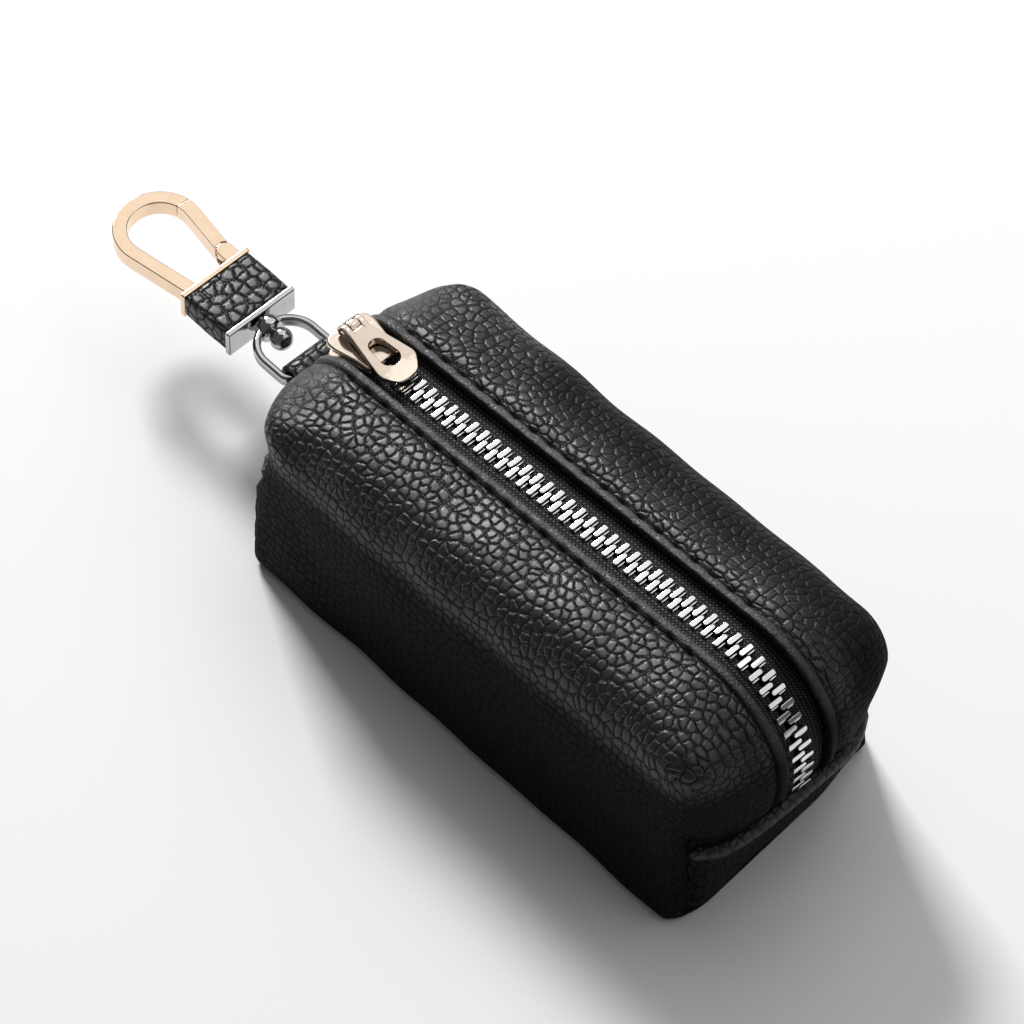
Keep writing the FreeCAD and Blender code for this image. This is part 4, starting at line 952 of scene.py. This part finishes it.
def pull_tab():
    """A tab that widens to a chamfered end, with an oval window and two arms on a pin."""
    chamfer_x = 11.3
    half = np.array([(1.75, 2.06), (2.6, 2.28), (5.0, 2.8), (8.0, 3.45), (10.6, 3.98), (11.4, 4.05),
                     (12.1, 3.9), (13.3, 3.1), (14.2, 2.3), (14.5, 1.6), (14.65, 0.0)])
    outline = spread(np.vstack([half, half[-2::-1] * [1, -1]]), 112)
    oval = np.vstack([arc((9.5, 0), 1.92, -90, 90, 20), arc((6.5, 0), 1.62, 90, 270, 20)])
    body = plate("tab", outline, -0.8, 0.8, np.roll(spread(oval, 112), 56, axis=0))
    edit(body, lambda: bpy.ops.mesh.bisect(plane_co=(chamfer_x * MM, 0, 0), plane_no=(1, 0, 0)))

    def slope(p):
        over = p[:, 2] > 0
        fall = 0.25 - 0.055 * (p[:, 0] - 2) - 0.20 * np.clip(p[:, 0] - chamfer_x, 0, 9)
        root = np.where(over & (p[:, 0] < 2.2), -0.35, 0)
        return p + np.column_stack([root, 0 * fall, np.where(over, fall, 0.1)])
    reshape(body, slope)
    bevel(body, 0.40, 4, 50)
    arms = []
    for side in (-1, 1):
        line = np.vstack([[(2.6, -0.62), (2.6, 0.95)], arc((0, 0), 1.55, 60, 300, 30)])
        arm = plate("arm", spread(line, 56), 1.05, 2.2)
        reshape(arm, lambda p: np.column_stack([p[:, 0], side * p[:, 2], p[:, 1]]))
        edit(arm, outward)
        bevel(arm, 0.34, 4)
        arms.append(arm)
    pin = turned("pin", [(-2.3, 0.0), (-2.3, 0.5), (-2.15, 0.7), (2.15, 0.7), (2.3, 0.5),
                         (2.3, 0.0)], 28)
    reshape(pin, lambda p: p[:, [1, 0, 2]])
    obj = assemble("zip_pull", lambda p: tilted(p, PULL_TURN) + PULL_AT, body, pin, *arms)
    dress(obj, SOFT_GOLD, "pale_gold", "pull_tab", body="pull")


pull_tab()


# Loop tab, ring and swivel

CLIP_Z = 20.6
STRAP_POINTS = 80


def at_clip(p):
    return p + [0, 0, CLIP_Z]


def teardrop(eye, radius, root, half):
    """Outline from a round eye to a thin root, both in one plane."""
    side = math.copysign(1, root - eye[0])
    far = abs(root - eye[0])
    lean = math.degrees(math.asin((radius - half) / far))
    start = 90 - lean
    loop = arc((0, 0), radius, start, 360 - start, 40)
    line = np.vstack([loop, [(far, -half), (far, half)]])
    line[:, 0] *= side
    return spread(line + np.array(eye), STRAP_POINTS)


def folded_strap(name, eye, radius, bore, root, half, reach, edge, sweep):
    """A strap folded round a ring, from its eye to the root that is sewn in at the closed end."""
    inner = spread(arc(eye, bore, 90, 90 + sweep, 60), STRAP_POINTS)
    obj = plate(name, teardrop(eye, radius, root, half), -reach, reach, inner)
    reshape(obj, on_edge)
    edit(obj, outward)
    bevel(obj, *edge, 45)
    smooth(obj)
    p = places_of(obj)
    lay_flat(obj, p[:, 0] + p[:, 2], p[:, 1])
    return obj


tab = folded_strap("loop_tab_leather", (-65.2, CLIP_Z), radius=2.7, bore=1.5, root=-55.9, half=1.5,
                   reach=4.7, edge=(0.5, 4), sweep=-355)
dress(tab, WRAP, "leather", "loop_tab", body="case")


def d_line(inset):
    """The D ring's outline, or a smaller one inside it."""
    r = 6.5 - inset
    corner = 2.2 - inset * 0.8
    x = -64.45 - inset
    return spread(np.vstack([
        arc((-71.0, 0), r, 90, 270, 48), arc((x - corner, -r + corner), corner, -90, 0, 10),
        arc((x - corner, r - corner), corner, 0, 90, 10)]), 120)


band = plate("band", d_line(0), -1.2, 1.2, d_line(1.5))
bevel(band, 0.66, 5)
boss = turned("boss", [(-75.15, 1.06), (-75.15, 2.0), (-75.35, 2.4), (-75.8, 2.55),
                       (-77.0, 2.55), (-77.4, 2.4), (-77.6, 2.0), (-77.6, 1.06)])
ring = join("ring_of_strap", band, boss)
reshape(ring, at_clip)
edit(ring, outward)
smooth(ring)
dress(ring, CHROME, "chrome", "d_ring", body="ring")

BALL_X, BALL_R = -73.1, 2.15
ball = [(BALL_X + BALL_R * math.cos(a), BALL_R * math.sin(a)) for a in np.linspace(0, math.pi * 0.84, 18)]
post = turned("swivel_pin", ball + [(-75.05, 1.0), (-82.0, 1.0), (-82.0, 0.0)])
reshape(post, at_clip)
smooth(post, 50)
dress(post, CHROME, "chrome", "swivel_post", body="clip")


# The clip: a hook with one open leg, closed by the gate on its fork

HOOK_AT, HOOK_R, HOOK_BAR, HOOK_HALF = np.array([-105.6, 0.0]), 8.4, 2.7, 1.7
GATE_AT, GATE_REACH = np.array([-93.9, 5.35]), 13.1
LEG_BASE = np.array([-91.2, 6.2])
LEG_TURN = math.degrees(math.atan2(LEG_BASE[1], LEG_BASE[0] - HOOK_AT[0])
                        + math.acos(HOOK_R / np.hypot(*(LEG_BASE - HOOK_AT))))


def toward(degrees):
    return np.array([math.cos(math.radians(degrees)), math.sin(math.radians(degrees))])


def leg_line(inset):
    """The two ends of the gate-side leg's edge: where it leaves the round, and at the base."""
    way = toward(LEG_TURN)
    return HOOK_AT + way * (HOOK_R - inset), LEG_BASE - way * inset


def seat_turn(inset, reach):
    """Angle round the hook at which a given reach from the gate's pin is met."""
    turn = np.linspace(LEG_TURN, 170, 900)
    ring = arc(HOOK_AT, HOOK_R - inset, LEG_TURN, 170, 900)
    return turn[np.argmin(np.abs(np.hypot(*(ring - GATE_AT).T) - reach))]


def seat_arc(reach, start, end):
    way = [math.degrees(math.atan2(*(q - GATE_AT)[::-1])) % 360 for q in (start, end)]
    return arc(GATE_AT, reach, way[0], way[1], 8)


def round_bar(reach, start, outer_count, inner_count):
    """The bar round the hook from an angle to its seat, along its outer edge and back."""
    outer = arc(HOOK_AT, HOOK_R, start, seat_turn(0, reach), outer_count)
    inner = arc(HOOK_AT, HOOK_R - HOOK_BAR, seat_turn(HOOK_BAR, reach), start, inner_count)
    return np.vstack([outer, seat_arc(reach, outer[-1], inner[0])[1:-1], inner])


def flat_bar(name, outline, low, high, width):
    """A flat bar of plated metal with narrow bright-cut edges."""
    obj = plate(name, outline, low, high)
    bevel(obj, width, 3, 40)
    return obj


def hook():
    gap = 0.14
    round_part = round_bar(GATE_REACH + gap, 360 - LEG_TURN, 72, 60)
    base_out, base_in = (leg_line(t)[1] * [1, -1] + [0.4, 0] for t in (0, HOOK_BAR))
    bow = flat_bar("bow", np.vstack([base_out, round_part, base_in]), -HOOK_HALF, HOOK_HALF, 0.24)
    thumb = np.vstack([arc(GATE_AT, 1.62, 90, 270, 24), [(-90.9, 3.72), (-90.9, 6.98)]])
    cheeks = [flat_bar("cheek", thumb, low, high, 0.2)
              for low, high in ((0.98, HOOK_HALF), (-HOOK_HALF, -0.98))]
    web = rounded_box("web", (-92.0, 3.9, -1.5), (-90.8, 6.6, 1.5), 0.1)
    plates = [rounded_box("end_plate", (x, -7.9, -2.9), (x + 1.2, 7.9, 2.9), 0.34, 4)
              for x in (-91.2, -79.3)]
    core = rounded_box("core", (-90.2, -6.5, -1.4), (-79.1, 6.5, 1.4), 0.3)
    for part in (bow, web, core, plates[0], *cheeks):
        part.data.materials.append(GOLD)
    plates[1].data.materials.append(CHROME)
    obj = assemble("hook_casting", at_clip, bow, web, core, *plates, *cheeks)
    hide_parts("clip_frame")
    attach(obj, "clip")


hook()


def gate():
    hollow = 1.76

    def fork_end(inset):
        start, end = leg_line(inset)
        line = start + (end - start) * np.linspace(0, 1, 800)[:, None]
        return line[np.argmax(np.hypot(*(line - GATE_AT).T) < hollow)]
    inner_end, outer_end = fork_end(HOOK_BAR), fork_end(0)
    arm = flat_bar("arm", np.vstack([
        round_bar(GATE_REACH, LEG_TURN, 14, 14), inner_end,
        seat_arc(hollow, inner_end, outer_end)[1:-1], outer_end]), -HOOK_HALF, HOOK_HALF, 0.22)
    lean = math.degrees(math.atan2(*(leg_line(1.35)[0] - leg_line(1.35)[1])[::-1]))
    tongue = flat_bar("tongue", np.vstack([
        arc(GATE_AT, 1.25, lean - 270, lean - 90, 20),
        arc(GATE_AT + 3.0 * toward(lean), 1.1, lean - 90, lean + 90, 12)]), -0.86, 0.86, 0.12)
    obj = assemble("hook_gate", at_clip, arm, tongue)
    dress(obj, GOLD, "pale_gold", "gate", body="gate")


gate()

rivet = turned("gate_rivet", [(-1.66, 0.0), (-1.66, 0.4), (-1.6, 0.52), (1.6, 0.52), (1.66, 0.4),
                              (1.66, 0.0)], 24)
reshape(rivet, lambda p: p[:, [2, 1, 0]] + [*GATE_AT, CLIP_Z])
edit(rivet, outward)
smooth(rivet)
dress(rivet, STEEL, "steel", "gate_pin", body="clip")

leaf_low, leaf_high = (np.array(v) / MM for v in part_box("gate_spring"))
leaf = rounded_box("gate_leaf", leaf_low, leaf_high, 0.04, 1)
smooth(leaf)
dress(leaf, STEEL, "steel", "gate_spring", body="clip")


def sleeve():
    """Leather wrapped round the clip's core, its edges turned in at both ends."""
    def loop(half_y, half_z, r):
        corners = [(half_y - r, half_z - r, 0), (-half_y + r, half_z - r, 90),
                   (-half_y + r, -half_z + r, 180), (half_y - r, -half_z + r, 270)]
        return spread(np.vstack([arc((a, b), r, t, t + 90, 9) for a, b, t in corners]), 72)
    rows = [(-79.5, -0.9), (-79.38, -0.5), (-79.38, -0.2), (-79.5, 0.0)]
    rows += [(x, 0.0) for x in np.linspace(-80.1, -89.2, 15)]
    rows += [(-89.8, 0.0), (-89.92, -0.2), (-89.92, -0.5), (-89.8, -0.9)]
    places = []
    for x, grow in rows:
        ring = loop(7.7 + grow, 2.7 + grow, max(1.1 + grow, 0.15))
        puff = 0.12 * bump(-84.6, 4.0, x)
        ring = ring * (1 + puff / 7.7)
        places.append(np.column_stack([np.full(len(ring), x), ring[:, 0], ring[:, 1] + CLIP_Z]))
    obj = tube("clip_sleeve", np.array(places), capped=False)
    smooth(obj, 60)
    dress(obj, WRAP, "leather", "leather_sleeve", body="clip")


sleeve()


# Inside: lining, strap and key ring

def lining():
    """A cloth tub, kept back from the zip and from the tucked corners."""
    z = np.hstack([np.linspace(32, 3, 18), [0.0]])
    corners = np.array([(-1, -1), (1, -1), (1, 1), (-1, 1), (-1, -1)]) * [BOX_END, HALF_WIDTH]
    rim = []
    for (x0, y0), (x1, y1), steps in zip(corners, corners[1:], (50, 24, 50, 24)):
        t = np.linspace(0, 1, steps, endpoint=False)
        rim.append(np.column_stack([x0 + (x1 - x0) * t, y0 + (y1 - y0) * t]))
    rim = np.vstack(rim + [rim[0][:1]])
    p, n = onto_case(box_grid(rim[None, :, 0], rim[None, :, 1], z[:, None]))
    length, w = np.abs(p[..., 0]), np.abs(p[..., 1])
    mouth = ease(10, 7, w) * np.where(p[..., 0] > 0, 1.9, 0.8) * ease(40, 50, length)
    corner = ease(42, 50, length) * ease(10, 19, w)
    p = p - n * (1.9 + mouth + 2.8 * corner * bump(SEAM_Z + 3, 5, p[..., 2]))[..., None]
    foot = p[-1]
    foot_z = np.full((len(rim), 1), foot[:, 2].min())
    bottom = [np.concatenate([foot[:, :2] * k, foot_z], 1) for k in np.linspace(1, 0, 8)[1:]]
    obj = cloth_grid("lining_tub", np.concatenate([p, np.array(bottom)], 0))
    edit(obj, merge, outward)
    edit(obj, bpy.ops.mesh.flip_normals)
    modify(obj, "SOLIDIFY", thickness=0.3 * MM, offset=1.0)
    smooth(obj, 60)
    dress(obj, CLOTH, "lining", "lining", body="case")


lining()

strap = folded_strap("key_strap", (-43.0, 5.6), radius=3.2, bore=2.1, root=-51.0, half=1.1,
                     reach=4.0, edge=(0.4, 3), sweep=355)
dress(strap, WRAP, "leather", "inner_strap", body="case")


def split_ring():
    """A flat wire wound twice round, its ends lying on the turn beside them."""
    low, high = (np.array(v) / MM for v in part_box("key_ring"))
    centre = (low + high) / 2
    tilt = math.radians(-6.6)
    t = np.linspace(0, 1, 160)
    angle = t * 4 * math.pi + 0.6
    climb = -0.36 + 0.72 * ease(0.42, 0.58, t)
    section = spread(np.array([(-0.72, -0.34), (0.72, -0.34), (0.72, 0.34), (-0.72, 0.34)]), 16)
    section = section * (1 - 0.06 * (np.abs(section[:, :1]) > 0.6))
    r = 11.25 + section[None, :, 0]
    h = climb[:, None] + section[None, :, 1]
    wound = np.stack([r * np.cos(angle)[:, None], r * np.sin(angle)[:, None], h], -1)
    obj = tube("key_split_ring", wound)
    reshape(obj, lambda p: tilted(p, tilt) + centre)
    smooth(obj)
    dress(obj, CHROME, "chrome", "key_ring", body="inner_ring")


split_ring()


# Floor, light and camera

deselect()
bpy.ops.mesh.primitive_plane_add(size=6, location=(0, 0, -0.0004))
floor = bpy.context.object
floor.name = "floor"
paper = Finish("white_paper")
paper.set(Base_Color=(0.95, 0.95, 0.95), Roughness=0.9, Specular_IOR_Level=0.0)
floor.data.materials.append(paper.material)

scene = bpy.context.scene
world = scene.world = bpy.data.worlds.new("studio")
world.use_nodes = True
room = world.node_tree.nodes["Background"].inputs
room["Color"].default_value = (0.11, 0.11, 0.113, 1.0)
room["Strength"].default_value = 1.0

LAMP_AIM = Vector((0, 0, 0.02))


def softbox(name, direction, distance, size, watts):
    data = bpy.data.lights.new(name, "AREA")
    data.shape = "RECTANGLE"
    data.size = data.size_y = size
    data.energy = watts
    lamp = bpy.data.objects.new(name, data)
    scene.collection.objects.link(lamp)
    way = Vector(direction).normalized()
    lamp.location = LAMP_AIM + way * distance
    lamp.rotation_euler = way.to_track_quat("Z", "Y").to_euler()


softbox("key", (-0.75, 0.315, 0.58), distance=1.8, size=0.42, watts=32)
softbox("ceiling", (-0.36, 0.42, 0.83), distance=1.3, size=1.3, watts=5.2)
softbox("far_side", (0.52, 0.42, 0.75), distance=1.3, size=1.1, watts=2.8)
softbox("glint", (0.02, 0.405, 0.914), distance=1.3, size=0.3, watts=0.14)

scene.view_settings.view_transform = "Standard"

# The camera as fitted to the case's edges in the photograph
FOCAL_PIXELS, PICTURE_PIXELS, SENSOR = 6846.9, 1024, 36
LOOK_AT, STAND_OFF = Vector((-0.0176, 0.0036, 0.0209)), 1.187
azimuth, elevation, roll = (math.radians(turn) for turn in (46.35, 54.02, 0.38))
level = math.cos(elevation)
back = Vector((math.sin(azimuth) * level, -math.cos(azimuth) * level, math.sin(elevation)))
right = Vector((math.cos(azimuth), math.sin(azimuth), 0))
up = back.cross(right)
right, up = right * math.cos(roll) + up * math.sin(roll), up * math.cos(roll) - right * math.sin(roll)
lens = bpy.data.cameras.new("camera")
lens.lens = FOCAL_PIXELS / PICTURE_PIXELS * SENSOR
lens.sensor_width = SENSOR
lens.clip_end = 20
camera = bpy.data.objects.new("camera", lens)
scene.collection.objects.link(camera)
facing = Matrix((right, up, back)).transposed().to_4x4()
camera.matrix_world = Matrix.Translation(LOOK_AT + back * STAND_OFF) @ facing
scene.camera = camera
